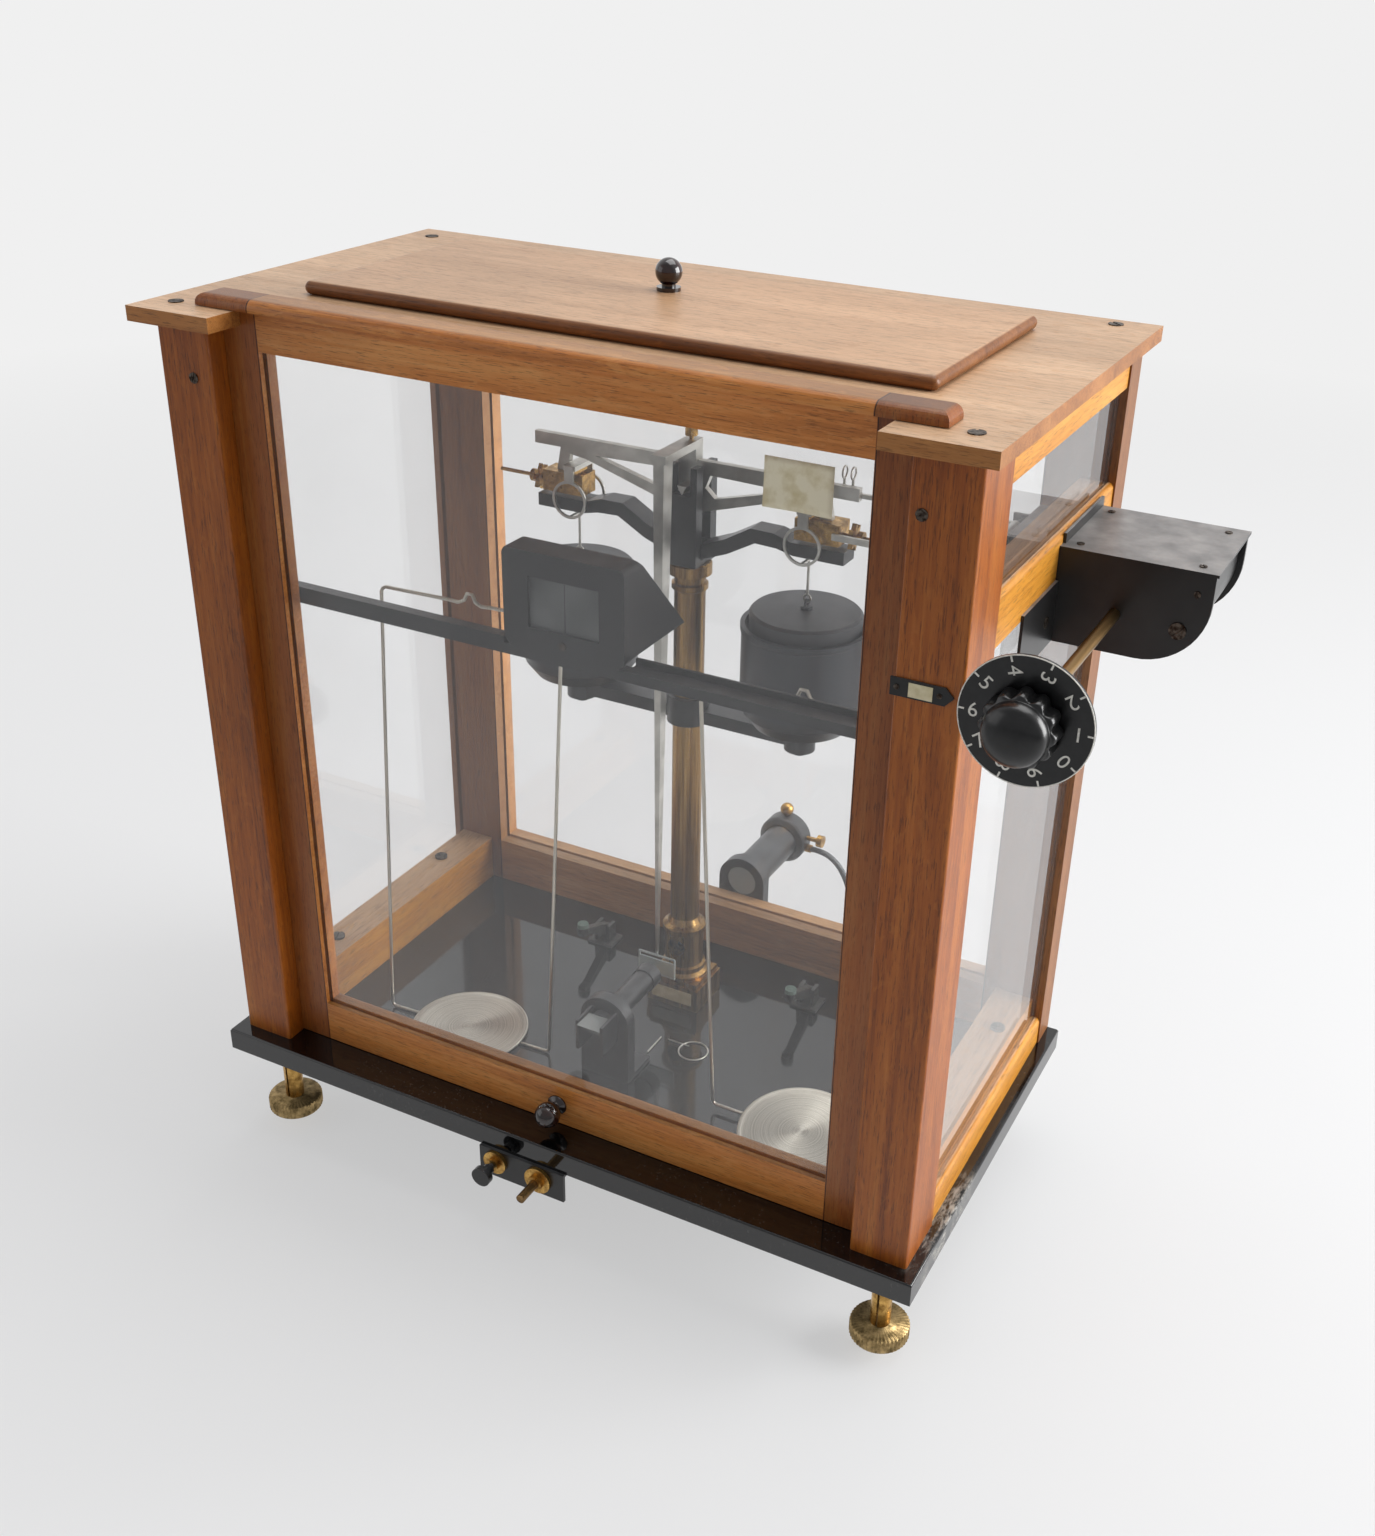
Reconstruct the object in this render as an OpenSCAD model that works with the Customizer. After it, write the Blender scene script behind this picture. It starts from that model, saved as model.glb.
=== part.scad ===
/* [Base] */
// Width of the base slab
slab_w = 450; // [420:1:560]
// Depth of the base slab
slab_d = 250; // [240:1:320]
// Thickness of the base slab
slab_t = 14; // [10:0.5:22]
// Height of the slab's top face above the table
stand_h = 76; // [66:1:96]

/* [Case] */
// Clear height from the slab to the underside of the top board
case_h = 431.5; // [400:0.5:520]
// Thickness of the top board
board_t = 7.7; // [5:0.1:14]
// How far the top board stands out past the posts at the sides
board_over = 8.5; // [3:0.5:16]
// Distance from the slab's edge to the outer face of the posts
post_inset = 7; // [3:0.5:14]
// Width of a front post
post_w = 32; // [26:0.5:44]
// Depth of a front post
post_d = 38.5; // [34:0.5:52]
// Setback of the front posts from the slab's front edge
post_set = 9.5; // [5:0.5:12]
// Width of a rear post
rear_post_w = 39; // [30:0.5:50]
// Depth of the rear posts and rear frame
rear_post_d = 19.5; // [15:0.5:26]
// Height of the bottom rails of the side and rear frames
sill_h = 31; // [22:0.5:40]
// Thickness of the side sills
sill_t = 31; // [26:0.5:40]
// Thickness of the upper side rails
rail_t = 18; // [15:0.5:24]
// Height of the top rails of the side and rear frames
head_h = 21; // [14:0.5:30]
// Distance from the top board down to the top of the side cross rail
cross_rail_drop = 71; // [60:1:90]
// Height of the side cross rail
cross_rail_h = 26; // [18:0.5:34]
// Thickness of the window glass
pane_t = 2.5; // [2:0.1:4]
// Depth of the grooves that hold the glass
pane_groove = 4; // [3:0.5:6]
// Radius of the quarter-round glazing bead
bead_r = 3.2; // [2:0.1:4]
// Radius of the posts' long edges
edge_r = 1.4; // [0.6:0.1:2.5]

/* [Sash] */
// Thickness of the sliding front sash
sash_t = 12; // [10:0.5:14]
// Width of the sash stiles beside the glass
sash_stile = 21; // [16:0.5:30]
// Height of the sash's bottom rail
sash_bottom = 26; // [18:0.5:36]
// Height of the sash's top rail
sash_top = 20; // [14:0.5:30]
// How deep the sash runs in the grooves of the posts
sash_groove = 5; // [3:0.5:8]
// Height of the moulding on top of the sash
cap_h = 6; // [4:0.5:9]
// Depth of the moulding on top of the sash
cap_d = 17; // [14:0.5:22]
// How far the moulding reaches past the posts' inner faces
cap_over = 12; // [6:0.5:18]
// Diameter of the ball of the sash knob
sash_ball = 11; // [8:0.5:16]

/* [Lid] */
// Width of the loose lid
lid_w = 345; // [300:1:360]
// Depth of the loose lid
lid_d = 141; // [120:1:150]
// Thickness of the loose lid
lid_t = 7; // [5:0.2:10]
// Distance from the slab's front edge to the lid's front edge
lid_y = 65; // [50:1:75]
// Diameter of the ball of the lid knob
lid_ball = 14; // [10:0.5:20]

/* [Weight dial] */
// Diameter of the numbered dial
dial_d = 60; // [48:0.5:72]
// Diameter of the knob's scalloped skirt
knob_d = 38; // [28:0.5:44]
// Depth of the knob from the dial's face to the top of its cap
knob_h = 21; // [14:0.5:28]
// Diameter of the dial shaft
shaft_d = 6; // [4:0.2:8]
// Width of the weight housing, out from the case side
housing_w = 75.5; // [66:0.5:90]
// Depth of the weight housing between its outer faces
housing_d = 70; // [60:0.5:80]
// Height of the weight housing
housing_h = 49; // [42:0.5:60]
// Distance from the slab's front edge to the weight housing
housing_y = 138; // [120:1:145]

/* [Column and beam] */
// Distance from the slab's front edge to the axis of the column
column_y = 170; // [160:1:180]
// Diameter of the column
column_d = 18; // [15:0.5:24]
// Height of the column's capital above the slab
capital_z = 295; // [280:1:300]
// Length of the beam
beam_l = 200; // [180:1:230]
// Thickness of the beam plate
beam_t = 4; // [2.5:0.1:6]
// Height from the capital to the central knife edge
knife_h = 41; // [36:0.5:48]
// Half the distance between the end knife edges
arm_l = 72.5; // [66:0.5:80]
// Diameter of the lifting rod in the column
rod_d = 8; // [6:0.2:9]
// Lift of the beam arrest
arrest_lift = 1.2; // [0.6:0.1:1.6]

/* [Dampers] */
// Diameter of the outer damper cylinders
pot_d = 71; // [60:0.5:80]
// Height of the outer damper cylinders
pot_h = 46; // [36:0.5:52]
// Air gap around the inner damper vessel
damper_gap = 2; // [1.2:0.1:3]
// Wall thickness of the damper cylinders
pot_wall = 2; // [1.2:0.1:3]
// Height of the underside of the damper cylinders above the slab
pot_z = 226; // [215:1:230]

/* [Pans] */
// Diameter of a weighing pan
pan_d = 72; // [60:1:80]
// Width of a pan's wire bow
bow_w = 112; // [100:1:116]
// Height of a pan's wire bow
bow_h = 286; // [260:1:300]
// Diameter of the bow wire
wire_d = 2; // [1.4:0.1:3]

/* [Optics] */
// Height of the optical axis above the slab
optic_z = 41; // [36:0.5:46]
// Width of the screen box
box_w = 70.4; // [60:0.2:80]
// Height of the screen box's front
box_h = 52; // [44:0.5:60]
// Height of the underside of the screen box above the slab
box_z = 287; // [275:1:295]
// Wall thickness of the screen box
box_wall = 2; // [1.2:0.1:3]
// Diameter of the objective tube
tube_d = 14; // [10:0.5:18]
// Diameter of the lamp tube
lamp_d = 24; // [18:0.5:28]
// Length of the lamp tube behind its stand
lamp_l = 54; // [44:1:64]

/* [Feet] */
// Distance between the front feet
foot_span = 403; // [340:1:410]
// Distance of the front feet from the slab's front edge
foot_y = 24.5; // [20:0.5:40]
// Diameter of the levelling discs
foot_disc = 30; // [24:1:40]
// Diameter of the split foot bushes
bush_d = 11.4; // [9:0.2:14]
// Diameter of the levelling screws
foot_screw = 8; // [6:0.2:9]

/* [Fits] */
// Gap around sliding wood and glass
slide_gap = 0.3; // [0.15:0.05:0.5]
// Radial clearance of turning shafts
run_gap = 0.05; // [0.03:0.01:0.1]
// Gap between pieces of different moving bodies
free_gap = 0.3; // [0.3:0.05:0.5]

/* [Hidden] */
$fn = 48;
// Fine and coarse round counts
fine = 72;
wire_fn = 16;
// Overcut of a subtracted shape
e = 0.5;

// The case frame has x from the slab's middle, y from its front edge and z from its top face
post_x = slab_w / 2 - post_inset;
inner_x = post_x - post_w;
post_back = post_set + post_d;
case_back = slab_d - 0.5;
rear_front = case_back - rear_post_d;
rear_inner_x = post_x - rear_post_w;
board_w = 2 * (post_x + board_over);
board_top = case_h + board_t;
side_out = post_x - 1;
pane_out = side_out - bead_r - 0.15;
pane_in = pane_out - pane_t;
groove_in = pane_in - 0.15;
groove_out = pane_out + 0.15;
head_z = case_h - head_h;
cross_top = case_h - cross_rail_drop;
cross_low = cross_top - cross_rail_h;
pane_split = (cross_top + cross_low) / 2;
pane_low = sill_h / 2;
pane_high = case_h - head_h / 3;
rear_pane_y = rear_front + 8;

sash_front = post_set + 12.5;
sash_back = sash_front + sash_t;
sash_x = inner_x + sash_groove - slide_gap;
sash_z = 0.5;
sash_high = board_top + 0.3;
glass_x = inner_x - sash_stile;
lobe_x = inner_x - 11.5;
cap_x = inner_x + cap_over;
sash_glass_y = sash_front + 3;

lid_hole_x = lid_w / 2 - 22;
lid_hole_d = lid_d - 36;
lid_shift = 2;
lid_knob_x = -5;
lid_knob_y = lid_y + 86;

housing_right = side_out + housing_w;
housing_top = cross_top - 5.5;
housing_low = housing_top - housing_h;
housing_back = housing_y + housing_d;
dial_x = side_out + 30.5;
dial_z = housing_low + 20;
dial_y = 3;
dial_t = 1.6;
neck_y0 = housing_y + 10;
neck_y1 = housing_back - 8;
neck_z0 = housing_low + 12;
neck_z1 = cross_top - 8;
neck_x = inner_x + 2;
lifter_x = neck_x - 6;
lifter_low = neck_z0 + 9.5;
lifter_z = neck_z0 + 28;

bar_y = sash_back + 2.5;
bar_d = 6.5;
bar_z = box_z - 6;
bar_h = 9.3;
shelf_d = 11.5;
box_y = bar_y;
box_back = box_y + 62;
box_top = box_z + box_h;

knife_z = capital_z + knife_h;
beam_top = knife_z + 18;
beam_low = knife_z - 11;
block_z = knife_z - 14;
block_h = 12;
yoke_top = block_z - arrest_lift - 1.2;
end_knife_z = knife_z + 1;
cross_z = beam_top + 6.5;
pointer_y = column_y - 37.5;
spindle_z = -22.8;
spindle_front = -21;
spindle_end_r = 2.6;
spindle_r = 3;
cam_r = 4;
rod_low = spindle_z + cam_r - arrest_lift + free_gap;
brake_x = -28.8;
brake_z = -21.6;
bracket_z = pot_z - 30;
vessel_r = pot_d / 2 - pot_wall - damper_gap;
vessel_z = pot_z + 8;
vessel_top = pot_z + pot_h + 8;

pan_seat = 0.05;
left_pan_x = -96.5;
left_pan_y = sash_back + pan_d / 2 + 0.8;
left_pan_turn = 3.5;
left_bow_lean = 3.1;
right_pan_x = 126.4;
right_pan_y = 76;

lamp_y = slab_d;
lamp_back = lamp_y + 8 + lamp_l;
cap_back = lamp_back + 14.5;
foot_low = -stand_h;

// The origin lies under the middle of the object, without its lamp lead
x_low = -board_w / 2;
x_high = housing_right + 1;
y_low = min(spindle_front, dial_y - knob_h - 1.5);
y_high = cap_back;
mid_x = (x_low + x_high) / 2;
mid_y = (y_low + y_high) / 2;

module in_case() {
  translate([-mid_x, -mid_y, stand_h]) children();
}
// A box given by its low and high corners
module span(a, b) {
  translate(a) cube(b - a);
}
// A cylinder along Y from y0 to y1
module rod_y(x, z, r, y0, y1, fn = 48) {
  translate([x, y0, z]) rotate([-90, 0, 0]) cylinder(r = r, h = y1 - y0, $fn = fn);
}
// A cylinder along X from x0 to x1
module rod_x(y, z, r, x0, x1, fn = 48) {
  translate([x0, y, z]) rotate([0, 90, 0]) cylinder(r = r, h = x1 - x0, $fn = fn);
}
// A plate of an outline in x and z, from y0 to y1
module plate_y(points, y0, y1) {
  translate([0, y1, 0]) rotate([90, 0, 0]) linear_extrude(y1 - y0) polygon(points);
}
// A bar of an outline in y and z, from x0 to x1
module bar_x(points, x0, x1) {
  translate([x0, 0, 0]) rotate([90, 0, 90]) linear_extrude(x1 - x0) polygon(points);
}
// A wire ring in the x and z plane
module ring_y(x, y, z, r, wire) {
  translate([x, y, z]) rotate([90, 0, 0]) rotate_extrude($fn = 32) translate([r, 0])
    circle(r = wire, $fn = wire_fn);
}
// Mirrors its children to the other side of the case when side is -1
module sided(side) {
  if (side < 0) mirror([1, 0, 0]) children();
  else children();
}

module base_slab() {
  edge = 1.2;
  color([0.04, 0.04, 0.045]) in_case() difference() {
    union() {
      span([-slab_w / 2, 0, -slab_t], [slab_w / 2, slab_d, -edge]);
      span([-slab_w / 2 + edge, edge, -edge - e], [slab_w / 2 - edge, slab_d - edge, 0]);
      rod_y(-slab_w / 2 + edge, -edge, edge, edge, slab_d - edge, 24);
      rod_y(slab_w / 2 - edge, -edge, edge, edge, slab_d - edge, 24);
      rod_x(edge, -edge, edge, -slab_w / 2 + edge, slab_w / 2 - edge, 24);
      rod_x(slab_d - edge, -edge, edge, -slab_w / 2 + edge, slab_w / 2 - edge, 24);
      for (x = [-slab_w / 2 + edge, slab_w / 2 - edge], y = [edge, slab_d - edge])
        translate([x, y, -edge]) sphere(r = edge, $fn = 24);
    }
    translate([0, column_y, -slab_t - e]) cylinder(d = rod_d + 2, h = slab_t + 2 * e);
  }
}

// An upright of a rectangular section with its long edges rounded
module eased_post(x0, x1, y0, y1, h) {
  r = edge_r;
  union() {
    span([x0 + r, y0, 0], [x1 - r, y1, h]);
    span([x0, y0 + r, 0], [x1, y1 - r, h]);
    for (x = [x0 + r, x1 - r], y = [y0 + r, y1 - r]) translate([x, y, 0]) cylinder(r = r, h = h, $fn = 24);
  }
}
module front_post() {
  color([0.55, 0.30, 0.16]) difference() {
    eased_post(inner_x, post_x, post_set, post_back, case_h);
    span([inner_x - e, sash_front - slide_gap, -e],
      [inner_x + sash_groove, sash_back + slide_gap, case_h + e]);
    span([groove_in, post_back - pane_groove, pane_low - 0.3],
      [groove_out, post_back + e, pane_high + 0.3]);
  }
}
module front_post_left() {
  in_case() sided(-1) front_post();
}
module front_post_right() {
  in_case() front_post();
}

module side_frame(neck) {
  y0 = post_back;
  y1 = rear_front;
  color([0.72, 0.45, 0.22]) difference() {
    union() {
      span([side_out - sill_t + 1, y0, 0], [groove_in, y1, sill_h]);
      span([groove_in - e, y0, 0], [side_out, y1, pane_low - 0.3]);
      rod_y(side_out - bead_r, pane_low - 0.3, bead_r, y0, y1, 32);
      span([side_out - rail_t, y0, cross_low], [groove_in, y1, cross_top]);
      span([groove_in - e, y0, pane_split - 2], [groove_out + e, y1, pane_split + 2]);
      span([groove_out, y0, cross_low], [side_out, y1, cross_top - bead_r]);
      rod_y(side_out - bead_r, cross_top - bead_r, bead_r, y0, y1, 32);
      span([side_out - rail_t, y0, head_z], [groove_in, y1, case_h]);
      span([groove_in - e, y0, pane_high + 0.3], [groove_out + e, y1, case_h]);
      span([groove_out, y0, head_z], [side_out, y1, case_h]);
    }
    span([groove_in, y0 - e, pane_low - 0.3], [groove_out, y1 + e, pane_split - 2]);
    span([groove_in, y0 - e, pane_split + 2], [groove_out, y1 + e, pane_high + 0.3]);
    if (neck) span([inner_x - 20, neck_y0 - slide_gap, neck_z0],
      [post_x, neck_y1 + slide_gap, neck_z1 + slide_gap]);
  }
}
module side_frame_left() {
  in_case() sided(-1) side_frame(false);
}
module side_frame_right() {
  in_case() side_frame(true);
}

module side_pane(neck) {
  y0 = post_back - pane_groove + 0.2;
  y1 = rear_front + pane_groove - 0.2;
  color([0.85, 0.92, 0.95, 0.3]) difference() {
    union() {
      span([pane_in, y0, pane_low], [pane_out, y1, pane_split - 2.3]);
      span([pane_in, y0, pane_split + 2.3], [pane_out, y1, pane_high]);
    }
    if (neck) span([pane_in - e, neck_y0 - slide_gap, neck_z0 - slide_gap],
      [pane_out + e, neck_y1 + slide_gap, neck_z1]);
  }
}
module pane_left() {
  in_case() sided(-1) side_pane(false);
}
module pane_right() {
  in_case() side_pane(true);
}

module rear_frame() {
  gy0 = rear_pane_y - 0.15;
  gy1 = rear_pane_y + pane_t + 0.15;
  color([0.62, 0.37, 0.2]) in_case() difference() {
    union() {
      for (s = [-1, 1]) sided(s) span([rear_inner_x, rear_front, 0], [post_x, case_back, case_h]);
      span([-rear_inner_x - e, rear_front, 0], [rear_inner_x + e, case_back, sill_h]);
      span([-rear_inner_x - e, rear_front, head_z], [rear_inner_x + e, case_back, case_h]);
    }
    span([-rear_inner_x - pane_groove, gy0, sill_h - pane_groove],
      [rear_inner_x + pane_groove, gy1, head_z + pane_groove]);
    for (s = [-1, 1]) sided(s)
      span([groove_in, rear_front - e, pane_low - 0.3],
        [groove_out, rear_front + pane_groove, pane_high + 0.3]);
  }
}
module pane_rear() {
  g = pane_groove - 0.2;
  color([0.85, 0.92, 0.95, 0.3]) in_case()
    span([-rear_inner_x - g, rear_pane_y, sill_h - g],
      [rear_inner_x + g, rear_pane_y + pane_t, head_z + g]);
}

module top_board() {
  front = -1;
  color([0.78, 0.55, 0.36]) in_case() difference() {
    span([-board_w / 2, front, case_h], [board_w / 2, slab_d - 1, board_top]);
    span([-lobe_x, front - e, case_h - e], [lobe_x, sash_front, board_top + e]);
    span([-inner_x - sash_groove, sash_front - slide_gap, case_h - e],
      [inner_x + sash_groove, sash_back + slide_gap, board_top + e]);
    span([-lid_hole_x, lid_y + 18, case_h - e], [lid_hole_x, lid_y + 18 + lid_hole_d, board_top + e]);
  }
}

module sash_frame() {
  gy0 = sash_glass_y - 0.15;
  gy1 = sash_glass_y + pane_t + 0.15;
  cap_y = sash_back - cap_d;
  round_r = 4.5;
  cap_z = sash_high;
  profile = concat(
    [[sash_back, cap_z - e], [sash_back, cap_z + cap_h]],
    [for (i = [0:6]) [cap_y + round_r - round_r * sin(15 * i), cap_z + cap_h - round_r + round_r *
      cos(15 * i)]],
    [[cap_y, cap_z], [sash_front, cap_z], [sash_front, cap_z - e]]);
  end_profile = concat(
    [for (i = [0:6]) [-cap_x + round_r - round_r * cos(15 * i), cap_z + cap_h - round_r + round_r *
      sin(15 * i)]],
    [for (i = [6:-1:0]) [cap_x - round_r + round_r * cos(15 * i), cap_z + cap_h - round_r + round_r *
      sin(15 * i)]],
    [[cap_x, cap_z], [sash_x, cap_z], [sash_x, cap_z - e], [-sash_x, cap_z - e], [-sash_x, cap_z],
      [-cap_x, cap_z]]);
  color([0.66, 0.40, 0.17]) in_case() union() {
    difference() {
      span([-sash_x, sash_front, sash_z], [sash_x, sash_back, sash_high]);
      span([-glass_x, sash_front - e, sash_z + sash_bottom],
        [glass_x, sash_back + e, sash_high - sash_top]);
      span([-glass_x - pane_groove, gy0, sash_z + sash_bottom - pane_groove],
           [glass_x + pane_groove, gy1, sash_high - sash_top + pane_groove]);
    }
    intersection() {
      bar_x(profile, -cap_x, cap_x);
      plate_y(end_profile, cap_y - e, sash_back + e);
    }
  }
}
module sash_glass() {
  g = pane_groove - 0.2;
  color([0.85, 0.92, 0.95, 0.3]) in_case()
    span([-glass_x - g, sash_glass_y, sash_z + sash_bottom - g],
      [glass_x + g, sash_glass_y + pane_t, sash_high - sash_top + g]);
}
// A turned ball knob on a neck and a base disc, standing along +Z
module ball_knob(ball, height) {
  cylinder(d = ball * 0.9, h = ball * 0.14);
  cylinder(d = ball * 0.52, h = height - ball / 2);
  translate([0, 0, height - ball / 2]) sphere(d = ball);
}
module sash_knob() {
  color([0.05, 0.03, 0.03]) in_case() translate([-1.5, sash_front, sash_z + sash_bottom / 2])
    rotate([90, 0, 0])
    ball_knob(sash_ball, sash_ball * 1.5);
}

module top_lid() {
  r = lid_t / 2;
  x0 = lid_shift - lid_w / 2 + r;
  x1 = lid_shift + lid_w / 2 - r;
  y0 = lid_y + r;
  y1 = lid_y + lid_d - r;
  batten_x = lid_hole_x - 4;
  color([0.74, 0.50, 0.33]) in_case() union() {
    translate([0, 0, board_top]) {
      span([x0, y0, 0], [x1, y1, lid_t]);
      rod_y(x0, r, r, y0, y1, 32);
      rod_y(x1, r, r, y0, y1, 32);
      rod_x(y0, r, r, x0, x1, 32);
      rod_x(y1, r, r, x0, x1, 32);
      for (x = [x0, x1], y = [y0, y1]) translate([x, y, r]) sphere(r = r, $fn = 32);
    }
    for (y = [lid_y + 20, lid_y + 18 + lid_hole_d - 12])
      span([-batten_x, y, board_top - 5], [batten_x, y + 10, board_top + e]);
  }
}
module lid_knob() {
  color([0.06, 0.03, 0.03]) in_case() translate([lid_knob_x, lid_knob_y, board_top + lid_t])
    ball_knob(lid_ball, lid_ball * 1.17);
}

module cross_bar() {
  wide = box_w / 2 + 0.6;
  color([0.05, 0.05, 0.05]) in_case() union() {
    span([-inner_x, bar_y, bar_z], [inner_x, bar_y + bar_d, bar_z + 6]);
    span([-inner_x, bar_y, bar_z + 5], [-wide, bar_y + bar_d, bar_z + bar_h]);
    span([wide, bar_y, bar_z], [inner_x, bar_y + shelf_d, bar_z + 5.5]);
    span([wide, bar_y + shelf_d - 1.5, bar_z + 5], [inner_x, bar_y + shelf_d, bar_z + bar_h]);
    for (s = [-1, 1]) sided(s) span([inner_x - 2, bar_y, bar_z - 4],
      [inner_x, bar_y + bar_d, bar_z + bar_h]);
  }
}

// Outline of the screen box from the side, grown inwards by a wall
function box_side(w) = [
  [box_y + w, box_z + w], [box_y + w, box_top - w], [box_y + 14.5 - w * 0.4, box_top + 1 - w],
  [box_back - w * 2.4, box_z + 3.6 + w], [box_y + 7.2, box_z + 3.6 + w], [box_y + 6.5, box_z + w]];
module screen_box() {
  r = 5;
  hw = box_w / 2;
  win_x = 20.6;
  win_z = box_z + 11.5;
  win_h = 27.3;
  floor_y = box_y + 10;
  color([0.06, 0.06, 0.065]) in_case() difference() {
    intersection() {
      bar_x(box_side(0), -hw, hw);
      union() {
        span([-hw + r, box_y - e, box_z - e], [hw - r, box_back + e, box_top + 2]);
        span([-hw, box_y - e, box_z + r], [hw, box_back + e, box_top + 1 - r]);
        for (s = [-1, 1]) sided(s) {
          rod_y(hw - r, box_z + r, r, box_y - e, box_back + e, 48);
          rod_y(hw - r, box_top + 1 - r, r, box_y - e, box_back + e, 48);
        }
      }
    }
    bar_x(box_side(box_wall), -hw + box_wall, hw - box_wall);
    span([-hw + 6, floor_y, box_z - e], [hw - 6, box_back - 8, box_z + 3.6 + box_wall + e]);
    span([-win_x, box_y - e, win_z], [win_x, box_y + box_wall + e, win_z + win_h]);
  }
}
module screen_glass() {
  color([0.55, 0.56, 0.55]) in_case()
    span([-23, box_y + box_wall, box_z + 9.5], [23, box_y + box_wall + 1.5, box_z + 41]);
}

module column() {
  boss_r = column_d / 2 + 4.5;
  r = column_d / 2;
  color([0.62, 0.47, 0.25]) in_case() difference() {
    union() {
      span([-18, column_y - 16, 0], [18, column_y + 16, 15.5]);
      span([-16.5, column_y - 14.5, 15], [16.5, column_y + 14.5, 19]);
      translate([0, column_y, 0]) rotate_extrude($fn = fine) polygon([
        [0, 18], [boss_r + 2, 18], [boss_r + 2, 21], [boss_r, 23], [boss_r, 26], [boss_r - 1.5, 27],
        [boss_r - 1.5, optic_z + 9], [boss_r, optic_z + 10], [boss_r, optic_z + 13],
          [r + 1.5, optic_z + 15],
        [r, optic_z + 19], [r, capital_z - 17], [r + 1.5, capital_z - 16], [r + 1.5, capital_z - 13],
        [r, capital_z - 12], [r, capital_z - 8], [r + 3.5, capital_z - 7], [r + 3.5, capital_z - 1],
        [r + 2.5, capital_z], [0, capital_z]]);
    }
    translate([0, column_y, -e]) cylinder(d = rod_d + 2 * free_gap, h = capital_z + 2 * e);
    rod_y(0, optic_z, 6, column_y - 30, column_y + 30);
  }
}

module damper_bracket() {
  r = column_d / 2 + run_gap;
  hub_r = column_d / 2 + 3.5;
  color([0.07, 0.07, 0.08]) in_case() difference() {
    union() {
      translate([0, column_y, bracket_z]) cylinder(r = hub_r, h = 17);
      for (s = [-1, 1]) sided(s) {
        span([hub_r - 3, column_y - 6, bracket_z + 2], [arm_l, column_y + 6, bracket_z + 10]);
        translate([arm_l, column_y, bracket_z - 1]) cylinder(r = 9, h = 14);
        translate([arm_l, column_y, bracket_z - 4]) cylinder(r = 4, h = 4);
        translate([arm_l, column_y, 0]) rotate_extrude($fn = fine) polygon([
          [0, bracket_z + 9], [12, bracket_z + 9], [pot_d / 2 - 8, bracket_z + 16],
          [pot_d / 2 - 2, bracket_z + 24], [pot_d / 2 - 2, pot_z], [0, pot_z]]);
      }
    }
    translate([0, column_y, bracket_z - e]) cylinder(r = r, h = 20);
  }
}

module damper_pot() {
  color([0.09, 0.11, 0.14]) translate([arm_l, column_y, pot_z]) rotate_extrude($fn = fine) polygon([
    [0, 0], [pot_d / 2, 0], [pot_d / 2, pot_h - 4], [pot_d / 2 + 0.7, pot_h - 3.4],
      [pot_d / 2 + 0.7, pot_h],
    [pot_d / 2 - pot_wall, pot_h], [pot_d / 2 - pot_wall, 3], [0, 3]]);
}
module damper_pot_left() {
  in_case() sided(-1) damper_pot();
}
module damper_pot_right() {
  in_case() damper_pot();
}

module vessel() {
  w = 1.2;
  h = vessel_top - vessel_z;
  color([0.30, 0.31, 0.33]) translate([arm_l, column_y, vessel_z]) {
    rotate_extrude($fn = fine) polygon([
      [vessel_r, 0], [vessel_r, h - 1.5], [vessel_r - 1.5, h], [3.4, h + 0.8], [3.2, h + 2.6], [0, h + 2.6],
      [0, h - w], [vessel_r - w - 0.6, h - w - 0.6], [vessel_r - w, h - w - 1.2], [vessel_r - w, 0]]);
    translate([0, 0, h + 4.2]) rotate([90, 0, 90]) rotate_extrude($fn = 32) translate([2.2, 0])
      circle(r = 0.7, $fn = wire_fn);
  }
}
module vessel_left() {
  in_case() sided(-1) vessel();
}
module vessel_right() {
  in_case() vessel();
}

module bearing_fork() {
  base_t = 3;
  cheek_y = column_y - 12;
  hw = 9.5;
  slot = 5.5;
  color([0.08, 0.08, 0.09]) in_case() difference() {
    union() {
      span([-hw, cheek_y, capital_z], [hw, column_y + 12, capital_z + base_t]);
      span([-hw, cheek_y, capital_z + base_t - e], [hw, cheek_y + 7, knife_z + 16]);
      span([-hw, column_y + 5, capital_z + base_t - e], [hw, column_y + 12, knife_z + 16]);
    }
    span([-slot, cheek_y - e, knife_z - run_gap], [slot, column_y + 12 + e, knife_z + 20]);
    translate([0, column_y, capital_z - e]) cylinder(d = rod_d + 2 * free_gap, h = base_t + 2 * e);
  }
}

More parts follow.
